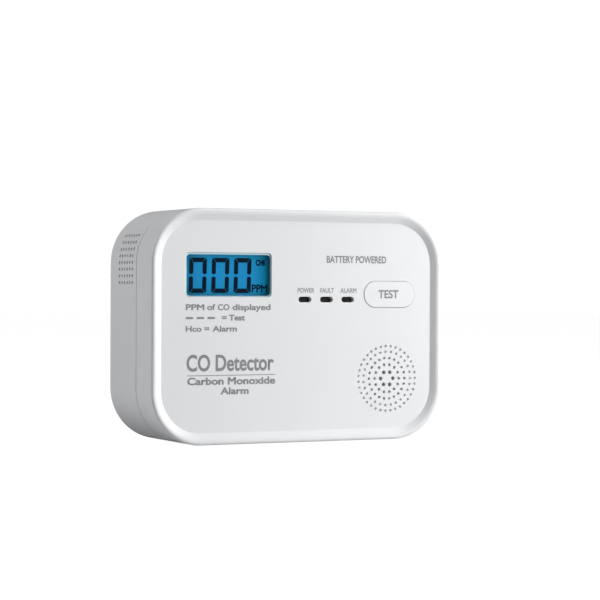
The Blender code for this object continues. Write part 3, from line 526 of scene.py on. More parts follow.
def hole_stations(edge, back, mouth=FACE_Y, inwards=1, steps=4):
    """Cutter stations for a hole whose mouth, in a flat face, is rounded by edge."""
    stations = [(edge, mouth - inwards * 0.6 * MM)]
    for step in range(steps + 1):
        angle = pi / 2 * (1 - step / steps)
        depth = edge * (1 - sin(angle)) - 0.01 * MM
        stations.append((edge * (1 - cos(angle)), mouth + inwards * depth))
    stations.append((0, back))
    return stations


def rear_stations(edge, depth, steps=3):
    """Cutter stations for a hole from the back of the case."""
    return hole_stations(edge, REAR_Y - depth, REAR_Y, -1, steps)


def edge_stations(y, edge, direction, steps=4):
    """Stations that round the end of a solid: from the flat end at y inwards along the direction."""
    stations = []
    for angle in quarter(steps):
        stations.append((-edge * (1 - sin(angle)), y + direction * edge * (1 - cos(angle))))
    return stations


def merge(name, objects):
    bm = bmesh.new()
    for obj in objects:
        bm.from_mesh(obj.data)
        bpy.data.objects.remove(obj)
    return object_from(name, bm)


def combine(obj, tools, operation):
    """A Boolean of one or more helpers into a solid, applied at once."""
    tool = tools if isinstance(tools, bpy.types.Object) else merge("tool", tools)
    step = obj.modifiers.new("Boolean", "BOOLEAN")
    step.operation = operation
    step.solver = "EXACT"
    step.object = tool
    apply_modifiers(obj)
    bpy.data.objects.remove(tool)
    return obj


def cut(obj, *tools):
    """Cuts with tools that don't overlap each other."""
    return combine(obj, list(tools), "DIFFERENCE")


def join(obj, *tools):
    return combine(obj, list(tools), "UNION")


def piece(obj, surface, replaces=(), body="case"):
    """Shades, paints and mounts a finished piece."""
    obj.data.shade_smooth()
    obj.data.set_sharp_from_angle(angle=radians(30))
    weighted = obj.modifiers.new("Weighted normals", "WEIGHTED_NORMAL")
    weighted.keep_sharp = True
    paint(obj, surface)
    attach(obj, body)
    if replaces:
        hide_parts(*replaces)
    return obj


# Screws, openings and what they hold

CASE_BORE = 1.85 * MM
BOARD_BORE = 1.45 * MM
# A shape's height over the radius of its corners, when its ends are all but half circles
STADIUM = 2.02
CASE_SCREWS = [flat(middle(f"case_screw_{i}")) for i in (1, 2, 3, 4)]
BOARD_SCREWS = [flat(middle(f"pcb_screw_{i}")) for i in (1, 2, 3)]
BUTTON = flat(middle("test_button"))
BUTTON_HOLE = (21.8 * MM, 9.9 * MM)
SOUNDER = flat(middle("sounder_housing"))
DISPLAY = flat(middle("display_window"))
WINDOW = (33.7 * MM, 15.8 * MM)
WINDOW_RADIUS = 1.3 * MM
WINDOW_GAP = 0.25 * MM
LAMP_SLOT = (5.15 * MM, 2.05 * MM)
LAMPS = {name: flat(middle(f"led_{name}")) for name in ("power", "fault", "alarm")}


# Front cover


def rim_stations():
    """(inset, y) from the parting line over the rim to the flat face."""
    seam = PARTING_Y - SEAM_GAP / 2
    stations = [(PARTING_EDGE, seam), (0, seam - PARTING_EDGE)]
    for angle in quarter(12):
        inset = RIM_OUTER_RADIUS * (1 - cos(angle))
        stations.append((inset, FRONT_Y + RIM_OUTER_RADIUS * (1 - sin(angle))))
    for step in range(1, 9):
        angle = RIM_SLOPE * step / 8
        inset = RIM_OUTER_RADIUS + RIM_INNER_RADIUS * sin(angle)
        stations.append((inset, FRONT_Y + RIM_INNER_RADIUS * (1 - cos(angle))))
    foot = RIM_FOOT_RADIUS * tan(RIM_SLOPE / 2)
    for step in range(6):
        angle = RIM_SLOPE * (1 - step / 5)
        inset = RIM_WIDTH + foot - RIM_FOOT_RADIUS * sin(angle)
        stations.append((inset, FACE_Y - RIM_FOOT_RADIUS * (1 - cos(angle))))
    return stations


GRILLE_RINGS = (
    (6, 2.6 * MM, 0.76 * MM), (14, 5.16 * MM, 0.57 * MM), (22, 7.58 * MM, 0.52 * MM),
    (27, 9.97 * MM, 0.5 * MM), (35, 12.03 * MM, 0.5 * MM),
)
OPEN_RINGS = 3


def grille_tools():
    """The open rings are holes right through, and the two outer rings are shallow dimples."""
    tools = []
    edge, floor = 0.06 * MM, FACE_Y + 0.9 * MM
    for ring, (count, reach, radius) in enumerate(GRILLE_RINGS):
        is_open = ring < OPEN_RINGS
        back = COVER_INNER_Y + MM if is_open else floor - 0.1 * MM
        stations = [(radius + grow, y) for grow, y in hole_stations(edge, back, steps=2)]
        if not is_open:
            stations.append((radius * 0.7, floor))
        for i in range(count):
            angle = 2 * pi * i / count
            place = (SOUNDER[0] + reach * cos(angle), SOUNDER[1] + reach * sin(angle))
            tools.append(turned("grille_tool", stations, place, steps=14))
    return tools


def build_cover():
    cover = case_loft("cover_shell", rim_stations())
    cut(cover, case_loft("cavity", [(WALL, COVER_INNER_Y), (WALL, PARTING_Y + MM)]))
    rebate = TONGUE_INSET - GAP
    rebate_y = PARTING_Y - GAP / 2 - TONGUE_HEIGHT - GAP
    cut(cover, case_loft("rebate", [(rebate, rebate_y), (rebate, PARTING_Y + MM)]))
    root = COVER_INNER_Y - 0.5 * MM
    bosses = rods(CASE_SCREWS, 3.5 * MM, root, BOARD_BACK_Y + 0.4 * MM)
    bosses += rods(BOARD_SCREWS, 2.75 * MM, root, BOARD_FRONT_Y - GAP)
    collar = (26.8 * MM, 14.9 * MM)
    bosses.append(slab("collar", BUTTON, collar, [(0, root), (0, COVER_INNER_Y + 3.3 * MM)], 7.4 * MM))
    bosses.append(rod("ring", SOUNDER, 14.1 * MM, root, COVER_INNER_Y + 2.5 * MM, steps=48))
    join(cover, *bosses)
    tools = rods(CASE_SCREWS, CASE_BORE, COVER_INNER_Y + 1.5 * MM, BOARD_BACK_Y + 2 * MM)
    tools += rods(BOARD_SCREWS, BOARD_BORE, COVER_INNER_Y + 2 * MM, BOARD_FRONT_Y + MM)
    room = (24.4 * MM, 12.5 * MM)
    tools.append(slab("room", BUTTON, room, [(0, COVER_INNER_Y), (0, COVER_INNER_Y + 5 * MM)], 6.2 * MM))
    tools.append(rod("sounder_room", SOUNDER, 13.1 * MM, COVER_INNER_Y, COVER_INNER_Y + 4 * MM, steps=48))
    cut(cover, *tools)
    through = COVER_INNER_Y + MM
    holes = [slab("window", DISPLAY, WINDOW, hole_stations(0.15 * MM, through), WINDOW_RADIUS)]
    mouth = hole_stations(0.18 * MM, through)
    holes += [slab("slot", place, LAMP_SLOT, mouth, LAMP_SLOT[1] / STADIUM) for place in LAMPS.values()]
    mouth = hole_stations(0.1 * MM, through)
    holes.append(slab("button", BUTTON, BUTTON_HOLE, mouth, BUTTON_HOLE[1] / STADIUM, 16))
    cut(cover, *holes, *grille_tools())
    piece(cover, "white_abs", replaces=["front_cover"])


# Display


def build_window():
    """A clear plate with its flange, a wall around it in painted shade with painted light from the display,
    and a pale line in front of that wall that is painted light from the display on the window's edge.
    """
    low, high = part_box("display_window")
    extent = (WINDOW[0] - 2 * WINDOW_GAP, WINDOW[1] - 2 * WINDOW_GAP)
    edge = 0.12 * MM
    plate = [*edge_stations(low.y, edge, 1, 3), (0, high.y - 0.4 * MM)]
    lens = slab("window_lens", DISPLAY, extent, plate, WINDOW_RADIUS - WINDOW_GAP)
    flange = (high.x - low.x, high.z - low.z)
    join(lens, slab("flange", DISPLAY, flange, [(0, high.y - 0.9 * MM), (0, high.y)], 1.5 * MM))
    piece(lens, "clear_lens", replaces=["display_window"])
    side_front, line_back = low.y + 0.15 * MM, low.y + 0.35 * MM
    # A thin dark sleeve in the opening: painted shade, with painted light from the display
    wall = slab("window_wall", DISPLAY, extent, [(edge, line_back), (edge, high.y - MM)], WINDOW_RADIUS)
    inside = -0.06 * MM
    cut(wall, slab("wall_room", DISPLAY, extent, [(inside, side_front), (inside, high.y)], WINDOW_RADIUS))
    piece(wall, "window_wall_painted_light")
    # The pale line: painted light from the display on the window's edge
    depths = [(edge, side_front), (edge, line_back - 0.02 * MM)]
    line = slab("window_line", DISPLAY, extent, depths, WINDOW_RADIUS)
    place = (DISPLAY[0], DISPLAY[1] - 0.16 * MM)
    room = (extent[0] - 0.2 * MM, extent[1] - 0.5 * MM)
    cut(line, slab("line_room", place, room, [(0, side_front - MM), (0, high.y)], WINDOW_RADIUS))
    piece(line, "window_pale")


# Display contents, from the middle of the face
DIGIT_LEFT = (-42.78 * MM, -33.93 * MM, -25.13 * MM)
DIGIT_WIDTH = 6.9 * MM
DIGIT_BOTTOM = MID_Z + 11.95 * MM
DIGIT_TOP = MID_Z + 24.6 * MM
DIGIT_SLANT = radians(1.5)
SEGMENT_THICKNESS = 1.65 * MM
SEGMENT_GAP = 0.035 * MM
POLARISER = (35.4 * MM, 16.4 * MM)
POLARISER_GAP = 0.12 * MM


def segment(corners, y):
    """A thin plate on the display from its corners in X and Z."""
    lean = tan(DIGIT_SLANT)
    middle_z = (DIGIT_BOTTOM + DIGIT_TOP) / 2
    points = [(x + (z - middle_z) * lean, z) for x, z in corners]
    front = [(x, y - INK_THICKNESS, z) for x, z in points]
    back = [(x, y, z) for x, z in points]
    return loft("segment", [front, back])


def zero_segments(left, y):
    """The six lit segments of a 0, with mitred ends and a cut between the upper and lower halves."""
    right = left + DIGIT_WIDTH
    bottom, top = DIGIT_BOTTOM, DIGIT_TOP
    centre = (bottom + top) / 2
    t, g = SEGMENT_THICKNESS, SEGMENT_GAP
    chamfer = 0.55 * MM
    taper = 0.45 * MM
    shapes = []
    for edge, inward in ((bottom, 1), (top, -1)):
        shapes.append([
            (left + chamfer + g, edge), (right - chamfer - g, edge),
            (right - t - g, edge + inward * t), (left + t + g, edge + inward * t),
        ])
        for side, across in ((left, 1), (right, -1)):
            inner, shoulder = side + across * t, centre - inward * (0.28 * MM + taper)
            shapes.append([
                (side, edge + inward * (chamfer + g)),
                (side + across * chamfer * 0.8, edge + inward * chamfer * 0.25),
                (inner, edge + inward * (t + g)), (inner, shoulder),
                (side + across * t / 2, centre - inward * 0.28 * MM), (side, shoulder),
            ])
    return [segment(shape, y) for shape in shapes]


def build_display():
    low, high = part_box("lcd_glass")
    centre, extent = (low + high) / 2, high - low
    stations = [*edge_stations(low.y, 0.1 * MM, 1, 2), (0, high.y)]
    panel = slab("lcd_panel", flat(centre), (extent.x, extent.z), stations, 0.2 * MM)
    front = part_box("display_window")[1].y + POLARISER_GAP
    join(panel, slab("polariser", DISPLAY, POLARISER, [(0, front), (0, low.y + 0.2 * MM)], 0.2 * MM))
    piece(panel, "display_blue", replaces=["lcd_glass"])
    y = front - INK_LIFT
    digits = [part for left in DIGIT_LEFT for part in zero_segments(left, y)]
    words = [
        merge("lcd_digits", digits),
        lettering("lcd_unit", "PPM", (-18.0, -11.75), (12.25, 15.1), 0.03, y),
        lettering("lcd_note", "CHK", (-16.4, -12.2), (21.85, 24.1), 0.06, y),
    ]
    for word in words:
        piece(word, "segment")


# Lettering


def flat_text(words):
    """The words as a flat mesh that faces +Z, one unit high."""
    curve = bpy.data.curves.new(words, "FONT")
    curve.body = words
    curve.resolution_u = 5
    bm = taken_from(new_object(words, curve), 1e-5)
    bmesh.ops.reverse_faces(bm, faces=[face for face in bm.faces if face.normal.z < 0])
    return bm


def embolden(bm, weight):
    """Moves every outline of a flat lettering mesh outwards by the weight."""
    ways_out = {}
    for edge in bm.edges:
        if edge.is_boundary:
            loop = edge.link_loops[0]
            start, end = loop.vert, loop.link_loop_next.vert
            along = (end.co - start.co).normalized()
            for vert in (start, end):
                ways_out.setdefault(vert, []).append(Vector((along.y, -along.x, 0)))
    sharpest = 0.6
    for vert, ways in ways_out.items():
        way = sum(ways, Vector()) / len(ways)
        if way.length > 0.05:
            vert.co += way.normalized() * weight / max(sharpest, way.length)


def lettering(name, words, across, up, weight, y=FACE_Y - INK_LIFT, cap="H"):
    """Words between two X values, with capitals between two Z values, in mm from the middle of the face."""
    capital = flat_text(cap)
    embolden(capital, weight)
    cap_low = min(vert.co.y for vert in capital.verts)
    cap_high = max(vert.co.y for vert in capital.verts)
    capital.free()
    bm = flat_text(words)
    embolden(bm, weight)
    left = min(vert.co.x for vert in bm.verts)
    right = max(vert.co.x for vert in bm.verts)
    wide = (across[1] - across[0]) * MM / (right - left)
    tall = (up[1] - up[0]) * MM / (cap_high - cap_low)
    for vert in bm.verts:
        x = across[0] * MM + (vert.co.x - left) * wide
        z = MID_Z + up[0] * MM + (vert.co.y - cap_low) * tall
        vert.co = (x, y, z)
    raised = bmesh.ops.extrude_face_region(bm, geom=bm.faces[:])
    moved = [part for part in raised["geom"] if isinstance(part, bmesh.types.BMVert)]
    bmesh.ops.translate(bm, verts=moved, vec=(0, -INK_THICKNESS, 0))
    return object_from(name, bm)


def dash(name, across, up):
    """A plain printed stroke between two X and two Z values, in mm from the middle of the face."""
    y = FACE_Y - INK_LIFT
    low = (across[0] * MM, y - INK_THICKNESS, MID_Z + up[0] * MM)
    high = (across[1] * MM, y, MID_Z + up[1] * MM)
    return box(name, low, high)


# Words, their X from left to right, their capitals' Z from foot to top, and their weight
KEY_1, KEY_2, KEY_3 = (5.85, 8.0), (2.12, 4.24), (-1.8, 0.27)
KEY = (
    ("PPM", (-45.4, -38.2), KEY_1, 0.03), ("of", (-37.1, -33.9), KEY_1, 0.03),
    ("CO", (-32.95, -28.3), KEY_1, 0.03), ("displayed", (-27.1, -12.0), KEY_1, 0.03),
    ("= Test", (-31.3, -22.2), KEY_2, 0.036),
    ("Hco =", (-45.4, -36.2), KEY_3, 0.03), ("Alarm", (-35.0, -25.4), KEY_3, 0.03),
)
TITLE = (
    ("CO Detector", (-45.0, -10.6), (-15.9, -10.0), 0.024),
    ("Carbon Monoxide", (-44.7, -10.0), (-20.75, -18.1), 0.032),
    ("Alarm", (-31.8, -20.6), (-24.25, -21.75), 0.032),
)
NOTE = (("BATTERY POWERED", (10.9, 35.9), (23.15, 25.75), 0.024),)
LAMP_NAMES = (
    ("POWER", (-1.0, 5.8), (12.15, 13.9), 0.02), ("FAULT", (8.3, 13.9), (12.15, 13.9), 0.02),
    ("ALARM", (16.55, 23.3), (12.15, 13.9), 0.02),
)


def build_printing():
    strokes = [dash("stroke", (left, left + 2.85), (2.7, 3.45)) for left in (-45.4, -41.15, -36.9)]
    rule = dash("rule", (-44.7, -10.0), (-17.55, -17.3))
    prints = (
        ("printed_key", KEY, strokes, "ink"), ("printed_title", TITLE, [rule], "ink"),
        ("printed_note", NOTE, [], "ink"), ("printed_lamp_names", LAMP_NAMES, [], "pale_ink"),
    )
    for name, rows, extras, surface in prints:
        shapes = [lettering("words", *row) for row in rows]
        piece(merge(name, shapes + extras), surface)


# Lamps and button


def build_lamps():
    tints = {"power": "lamp_green", "fault": "lamp_amber", "alarm": "lamp_red"}
    for name, place in LAMPS.items():
        low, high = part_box(f"led_{name}")
        extent = (high.x - low.x, high.z - low.z)
        holder_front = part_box("led_holder")[0].y
        stations = [*edge_stations(low.y, 0.45 * MM, 1, 5), (0, holder_front - GAP)]
        lamp = slab(f"lamp_{name}", place, extent, stations, 0.7 * MM)
        for side in (-1, 1):
            leg = (place[0] + side * 1.27 * MM, place[1])
            spread = [(0, holder_front - MM), (0, high.y)]
            join(lamp, slab("leg", leg, (0.5 * MM, 0.5 * MM), spread, 0.05 * MM, 2))
        piece(lamp, tints[name], replaces=[f"led_{name}"])


def build_button():
    low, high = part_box("test_button")
    clearance = 0.26 * MM
    extent = (BUTTON_HOLE[0] - clearance, BUTTON_HOLE[1] - clearance)
    flange_y = COVER_INNER_Y + GAP
    stations = [*edge_stations(low.y, 0.2 * MM, 1, 4), (0, flange_y + 0.5 * MM)]
    button = slab("button_cap", BUTTON, extent, stations, extent[1] / STADIUM, 16)
    flange = (high.x - low.x, high.z - low.z)
    depths = [(0, flange_y), (0, flange_y + MM)]
    join(button, slab("flange", BUTTON, flange, depths, flange[1] / STADIUM, 16))
    stem = [(2.2 * MM, flange_y + 0.5 * MM), (2.2 * MM, high.y - 0.3 * MM), (1.9 * MM, high.y)]
    join(button, turned("stem", stem, BUTTON))
    piece(button, "button_abs", replaces=["test_button"], body="test_button")
    word = lettering("button_word", "TEST", (32.55, 41.05), (10.2, 13.25), 0.024, low.y - INK_LIFT)
    piece(word, "ink", body="test_button")


# Rear housing

HINGE = next(joint for joint in frame["joints"] if joint["name"] == "door_hinge")["pos_m"]
HINGE_Y, HINGE_Z = HINGE[1], HINGE[2]
HINGE_RADIUS = REAR_Y - HINGE_Y
PIN_RADIUS = 0.9 * MM
DOOR_LOW, DOOR_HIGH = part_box("battery_door")
DOOR_HALF_WIDTH = 24.7 * MM
DOOR_TOP_Z = DOOR_HIGH.z
DOOR_THICKNESS = 1.9 * MM
CELL_X = [middle(f"battery_{i}").x for i in (1, 2, 3)]
CELL_Y = middle("battery_1").y
BAY_HALF_WIDTH = 23.4 * MM
BAY_BOTTOM_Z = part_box("battery_bridge_bottom")[0].z - GAP
BAY_TOP_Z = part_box("battery_bridge_top")[1].z + GAP
BAY_FLOOR_Y = REAR_Y - 17.3 * MM
BAY_WALL = 1.6 * MM
SCREW_SEAT_Y = BOARD_BACK_Y + 8 * MM
KEYHOLE_X = 40 * MM
KEYHOLE_Z = MID_Z - 11 * MM
KEYHOLE_DROP = 7 * MM
VENT_ROWS = [MID_Z + (15.6 + 2.415 * row) * MM for row in range(8)]
VENT_RADIUS = 0.62 * MM
VENT_COLUMNS = [FACE_Y + (16.65 + 2.43 * column) * MM for column in range(6)]


def vent_tools():
    """Round holes cut straight through the left wall."""
    depths = (LEFT_X - MM, LEFT_X + 7 * MM)
    return [rod("vent", (y, z), VENT_RADIUS, *depths, "X", 16) for z in VENT_ROWS for y in VENT_COLUMNS]


def build_bay(housing):
    """The walls of the battery bay, the seat of its door and the sockets of its hinge."""
    half = BAY_HALF_WIDTH
    step_y = REAR_Y - 5 * MM
    flange = 3.2 * MM
    inner = HOUSING_INNER_Y + 0.5 * MM
    low = (-half - BAY_WALL, BAY_FLOOR_Y - BAY_WALL, BAY_BOTTOM_Z - BAY_WALL)
    join(housing, box("bay_walls", low, (half + BAY_WALL, step_y + MM, BAY_TOP_Z + BAY_WALL)))
    top = BAY_TOP_Z + flange + 0.4 * MM
    join(housing, box("bay_flange", (-half - flange, step_y, 7.2 * MM), (half + flange, inner, top)))
    for side in (-1, 1):
        x = side * (half + 3 * MM)
        low = (x - 2 * MM, step_y, HINGE_Z - 3.4 * MM)
        join(housing, box("hinge_block", low, (x + 2 * MM, inner, HINGE_Z + 3 * MM)))
    room = (2 * half, BAY_TOP_Z - BAY_BOTTOM_Z)
    place = (0, (BAY_TOP_Z + BAY_BOTTOM_Z) / 2)
    stations = [(-0.4 * MM, BAY_FLOOR_Y), (0, BAY_FLOOR_Y + 0.4 * MM), (0, REAR_Y + MM)]
    cut(housing, slab("bay_room", place, room, stations, 0.8 * MM, 3))
    seat_low, seat_high = HINGE_Z - HINGE_RADIUS - GAP, DOOR_TOP_Z + GAP
    seat = (2 * (DOOR_HALF_WIDTH + GAP), seat_high - seat_low)
    place = (0, (seat_low + seat_high) / 2)
    cut(housing, slab("door_seat", place, seat, rear_stations(0.15 * MM, 2.2 * MM), 1.2 * MM, 5))
    low = (-seat[0] / 2, HINGE_Y - HINGE_RADIUS - GAP, seat_low + 0.01 * MM)
    high = (seat[0] / 2, REAR_Y + MM, HINGE_Z + HINGE_RADIUS + 0.6 * MM)
    cut(housing, box("barrel_room", low, high))
    reach = DOOR_HALF_WIDTH + 2 * MM
    cut(housing, rod("hinge_sockets", (HINGE_Y, HINGE_Z), PIN_RADIUS + GAP, -reach, reach, "X"))
    low = (-6.3 * MM, REAR_Y - 6 * MM, BAY_TOP_Z - MM)
    cut(housing, box("tongue_room", low, (6.3 * MM, REAR_Y + MM, seat_high)))
    notch = rear_stations(0.3 * MM, 1.2 * MM)
    cut(housing, slab("finger_notch", (0, DOOR_TOP_Z), (16 * MM, 7 * MM), notch, 3.4 * MM, 12))
    for x in ((CELL_X[0] + CELL_X[1]) / 2, (CELL_X[1] + CELL_X[2]) / 2):
        low = (x - 0.4 * MM, BAY_FLOOR_Y - 0.5 * MM, BAY_BOTTOM_Z + 6 * MM)
        join(housing, box("cell_rib", low, (x + 0.4 * MM, BAY_FLOOR_Y + 3.2 * MM, BAY_TOP_Z - 6 * MM)))
    holes = []
    aside, inset = 5.5 * MM, 3.2 * MM
    depths = (BAY_FLOOR_Y - BAY_WALL - MM, BAY_FLOOR_Y + MM)
    for place in ((CELL_X[2] + aside, BAY_TOP_Z - inset), (CELL_X[0] - aside, BAY_BOTTOM_Z + inset)):
        holes.append(rod("wire_hole", place, 1.2 * MM, *depths))
    cut(housing, *holes)


def build_keyholes(housing):
    """The screw head enters the round hole, and the case slides down until the screw is in the slot."""
    head, slot = 4.2 * MM, 2.2 * MM
    pocket_half = head + 0.8 * MM
    wall = 1.3 * MM
    for side in (-1, 1):
        x = side * KEYHOLE_X
        top = KEYHOLE_Z + KEYHOLE_DROP
        low = Vector((x - pocket_half, HOUSING_INNER_Y - 5 * MM, KEYHOLE_Z - pocket_half))
        high = Vector((x + pocket_half, HOUSING_INNER_Y, top + pocket_half))
        grow = Vector((wall, wall, wall))
        join(housing, box("pocket_outer", low - grow, high + Vector((wall, 0.5 * MM, wall))))
        cut(housing, box("pocket", low, high))
        mouth = [(head + grow, y) for grow, y in rear_stations(0.25 * MM, 3 * MM)]
        cut(housing, turned("head_hole", mouth, (x, KEYHOLE_Z), steps=48))
        extent = (2 * slot, KEYHOLE_DROP + 2 * slot)
        place = (x, KEYHOLE_Z + KEYHOLE_DROP / 2)
        cut(housing, slab("slot", place, extent, rear_stations(0.25 * MM, 3 * MM), slot * 0.99, 12))


def build_housing():
    seam = PARTING_Y + SEAM_GAP / 2
    stations = [(PARTING_EDGE, seam), (0, seam + PARTING_EDGE)]
    for angle in quarter(8):
        inset = REAR_EDGE_RADIUS * (1 - cos(angle))
        stations.append((inset, REAR_Y - REAR_EDGE_RADIUS * (1 - sin(angle))))
    housing = case_loft("housing_shell", stations)
    tongue_y = PARTING_Y - GAP / 2 - TONGUE_HEIGHT
    lead_in = 0.2 * MM
    inset = TONGUE_INSET
    tongue = [(inset + lead_in, tongue_y), (inset, tongue_y + lead_in), (inset, PARTING_Y + 2 * MM)]
    join(housing, case_loft("tongue", tongue))
    cut(housing, case_loft("cavity", [(WALL, tongue_y - MM), (WALL, HOUSING_INNER_Y)]))
    meet = BOARD_BACK_Y + 0.4 * MM
    join(housing, *rods(CASE_SCREWS, 4.2 * MM, meet + GAP, HOUSING_INNER_Y + 0.5 * MM))
    cut(housing, *rods(CASE_SCREWS, CASE_BORE, meet - MM, REAR_Y + MM))
    sink = [(3.2 * MM + grow, y) for grow, y in rear_stations(0.3 * MM, REAR_Y - SCREW_SEAT_Y)]
    cut(housing, *[turned("sink", sink, place, steps=40) for place in CASE_SCREWS])
    build_bay(housing)
    build_keyholes(housing)
    label = size("rating_label")
    recess = (label.x + 2 * GAP, label.z + 2 * GAP)
    place = flat(middle("rating_label"))
    cut(housing, slab("label_recess", place, recess, rear_stations(0.1 * MM, 0.5 * MM), 1.2 * MM))
    cut(housing, *vent_tools())
    marks = []
    for i, x in enumerate(CELL_X):
        for end, z in ((1, BAY_TOP_Z - 9 * MM), (-1, BAY_BOTTOM_Z + 9 * MM)):
            positive = (end == 1) == (i != 1)
            marks += polarity_mark(x, z, positive)
    join(housing, *marks)
    piece(housing, "white_abs", replaces=["rear_housing"])


def polarity_mark(x, z, positive):
    """A raised plus or minus on the floor of the bay."""
    half, stroke = 1.6 * MM, 0.35 * MM
    y = (BAY_FLOOR_Y - 0.3 * MM, BAY_FLOOR_Y + 0.2 * MM)
    if not positive:
        return [box("minus", (x - half, y[0], z - stroke), (x + half, y[1], z + stroke))]
    across = box("plus", (x - half, y[0], z - stroke), (x + half, y[1], z + stroke))
    return [join(across, box("plus", (x - stroke, y[0], z - half), (x + stroke, y[1], z + half)))]


# Battery door


def build_door():
    """A panel with a hinge bar and pins at its foot, a snap tongue at its top, grip grooves and an arrow."""
    place = (0, (HINGE_Z + DOOR_TOP_Z) / 2)
    extent = (2 * DOOR_HALF_WIDTH, DOOR_TOP_Z - HINGE_Z)
    outside = [(grow, y) for grow, y in edge_stations(REAR_Y, 0.3 * MM, -1, 4)]
    door = slab("door_panel", place, extent, [*outside, (0, REAR_Y - DOOR_THICKNESS)], 1 * MM, 6)
    hinge = (HINGE_Y, HINGE_Z)
    join(door, rod("hinge_bar", hinge, HINGE_RADIUS, -DOOR_HALF_WIDTH, DOOR_HALF_WIDTH, "X"))
    pin_end = DOOR_HALF_WIDTH + 1.6 * MM
    tip, lead = 0.6 * MM, pin_end - 0.3 * MM
    pins = [(tip, -pin_end), (PIN_RADIUS, -lead), (PIN_RADIUS, lead), (tip, pin_end)]
    join(door, turned("pins", pins, hinge, "X"))
    low = (-5.5 * MM, DOOR_LOW.y, DOOR_TOP_Z - 1.4 * MM)
    high = (5.5 * MM, REAR_Y - DOOR_THICKNESS + 0.5 * MM, DOOR_TOP_Z)
    join(door, rounded_box("snap_tongue", low, high, 0.25 * MM))
    grooves = []
    for i in range(5):
        grip = (0, DOOR_TOP_Z - (4.5 + 1.5 * i) * MM)
        stations = rear_stations(0.2 * MM, 0.55 * MM, 2)
        grooves.append(slab("groove", grip, (14 * MM, 0.7 * MM), stations, 0.34 * MM, 4))
    cut(door, *grooves)
    cut(door, arrow(DOOR_TOP_Z - 18 * MM))
    piece(door, "white_abs", replaces=["battery_door"], body="battery_door")


def arrow(z):
    """A cutter for a small recessed arrow head that points at the grip."""
    half, rise = 3 * MM, 3.4 * MM
    outline = [(-half, z), (half, z), (0, z + rise)]
    depths = (REAR_Y - 0.4 * MM, REAR_Y + MM)
    return loft("arrow", [[(x, y, up) for x, up in outline] for y in depths])


# Cells and their contacts

CELL_RADIUS = size("battery_1").x / 2
CELL_LENGTH = size("battery_1").z
NUB = 1 * MM


def build_cells():
    """Each cell has a jacket, a band at its positive end and its steel ends."""
    r = CELL_RADIUS
    body = CELL_LENGTH - NUB
    band = 0.74 * body
    edge, soft, lip = 0.5 * MM, 0.15 * MM, 0.12 * MM
    rim = r - edge - 0.05 * MM
    jacket = [(r - edge, 0), (r - soft, soft), (r, edge), (r, band)]
    sleeve = [(r, band + 0.02 * MM), (r, body - edge), (r - soft, body - soft), (r - edge, body)]
    base = [(r - 1.1 * MM, 0), (r - MM, -lip), (rim, -lip + 0.1 * MM), (r - edge - 0.02 * MM, 1 * MM)]
    nub = [
        (rim, body - MM), (rim, body + 0.05 * MM), (3.4 * MM, body + 0.1 * MM),
        (2.8 * MM, body + 0.2 * MM), (2.7 * MM, CELL_LENGTH - 0.3 * MM), (2.4 * MM, CELL_LENGTH),
    ]
    for i, x in enumerate(CELL_X, 1):
        node = f"battery_{i}"
        low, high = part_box(node)
        foot, way = (low.z, 1) if i != 2 else (high.z, -1)

        def part(suffix, stations):
            placed = [(radius, foot + way * max(along, 0)) for radius, along in stations]
            return turned(node + suffix, placed, (x, CELL_Y), "Z", 56)

        piece(part("_jacket", jacket), "cell_jacket", replaces=[node])
        piece(part("_band", sleeve), "cell_band")
        piece(part("_base", base), "bright_steel")
        piece(part("_cap", nub), "bright_steel")


def build_springs():
    """Conical springs, from the contact plate to the flat end of each cell."""
    turns, steps = 3.5, 126
    radius = 0.4 * MM
    wide, narrow = 5.2 * MM, 3 * MM
    for i, x in enumerate(CELL_X, 1):
        low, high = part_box(f"battery_spring_{i}")
        start, end = (low.z, high.z) if i != 2 else (high.z, low.z)
        rise = end - start
        lift = radius if rise > 0 else -radius
        points = []
        for step in range(steps + 1):
            share = step / steps
            angle = 2 * pi * turns * share
            reach = wide + (narrow - wide) * share
            z = start + lift + (rise - 2 * lift) * share
            points.append((x + reach * cos(angle), CELL_Y + reach * sin(angle), z))
        piece(wire(f"spring_{i}", points, radius), "bright_steel", replaces=[f"battery_spring_{i}"])


# Radius and height of a dimple, in mm, from its foot to its top
DIMPLE = ((2.6, -0.1), (2.3, 0.08), (1.2, 0.2))


def build_contacts():
    """Plated strips, with a pressed dimple where a cell's positive end meets them."""
    dimples = {
        "battery_contact_negative": (), "battery_bridge_bottom": (CELL_X[1],),
        "battery_bridge_top": (CELL_X[0],), "battery_contact_positive": (CELL_X[2],),
    }
    for node, places in dimples.items():
        low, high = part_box(node)
        strip = rounded_box(node.replace("battery_", "plate_"), low, high, 0.14 * MM)
        for x in places:
            inner, way = (high.z, 1) if low.z < MID_Z else (low.z, -1)
            bulge = [(radius * MM, inner + way * rise * MM) for radius, rise in DIMPLE]
            join(strip, turned("dimple", bulge, (x, CELL_Y), "Z"))
        piece(strip, "bright_steel", replaces=[node])


# Screws


# Height of a screw head over its radius
HEAD_HEIGHT = 0.765
THREAD_PITCH = 0.9 * MM


def screw_outline(low, high, head, shank):
    """Stations from the point of a screw, over its thread, to the top of its pan head."""
    height = HEAD_HEIGHT * head
    under = high.y - height
    thread_y = low.y + 1.2 * shank
    stations = [(0.35 * shank, low.y), (shank, thread_y)]
    while thread_y + THREAD_PITCH < under - MM:
        stations += [(0.8 * shank, thread_y + THREAD_PITCH * 0.5), (shank, thread_y + THREAD_PITCH)]
        thread_y += THREAD_PITCH
    stations += [(shank * 0.85, under - 0.4 * MM), (shank * 0.85, under), (head, under)]
    for angle in quarter(6):
        crown = under + height * (0.35 + 0.65 * sin(angle))
        stations.append((head * cos(angle) * 0.98 + 0.02 * head, crown))
    return stations


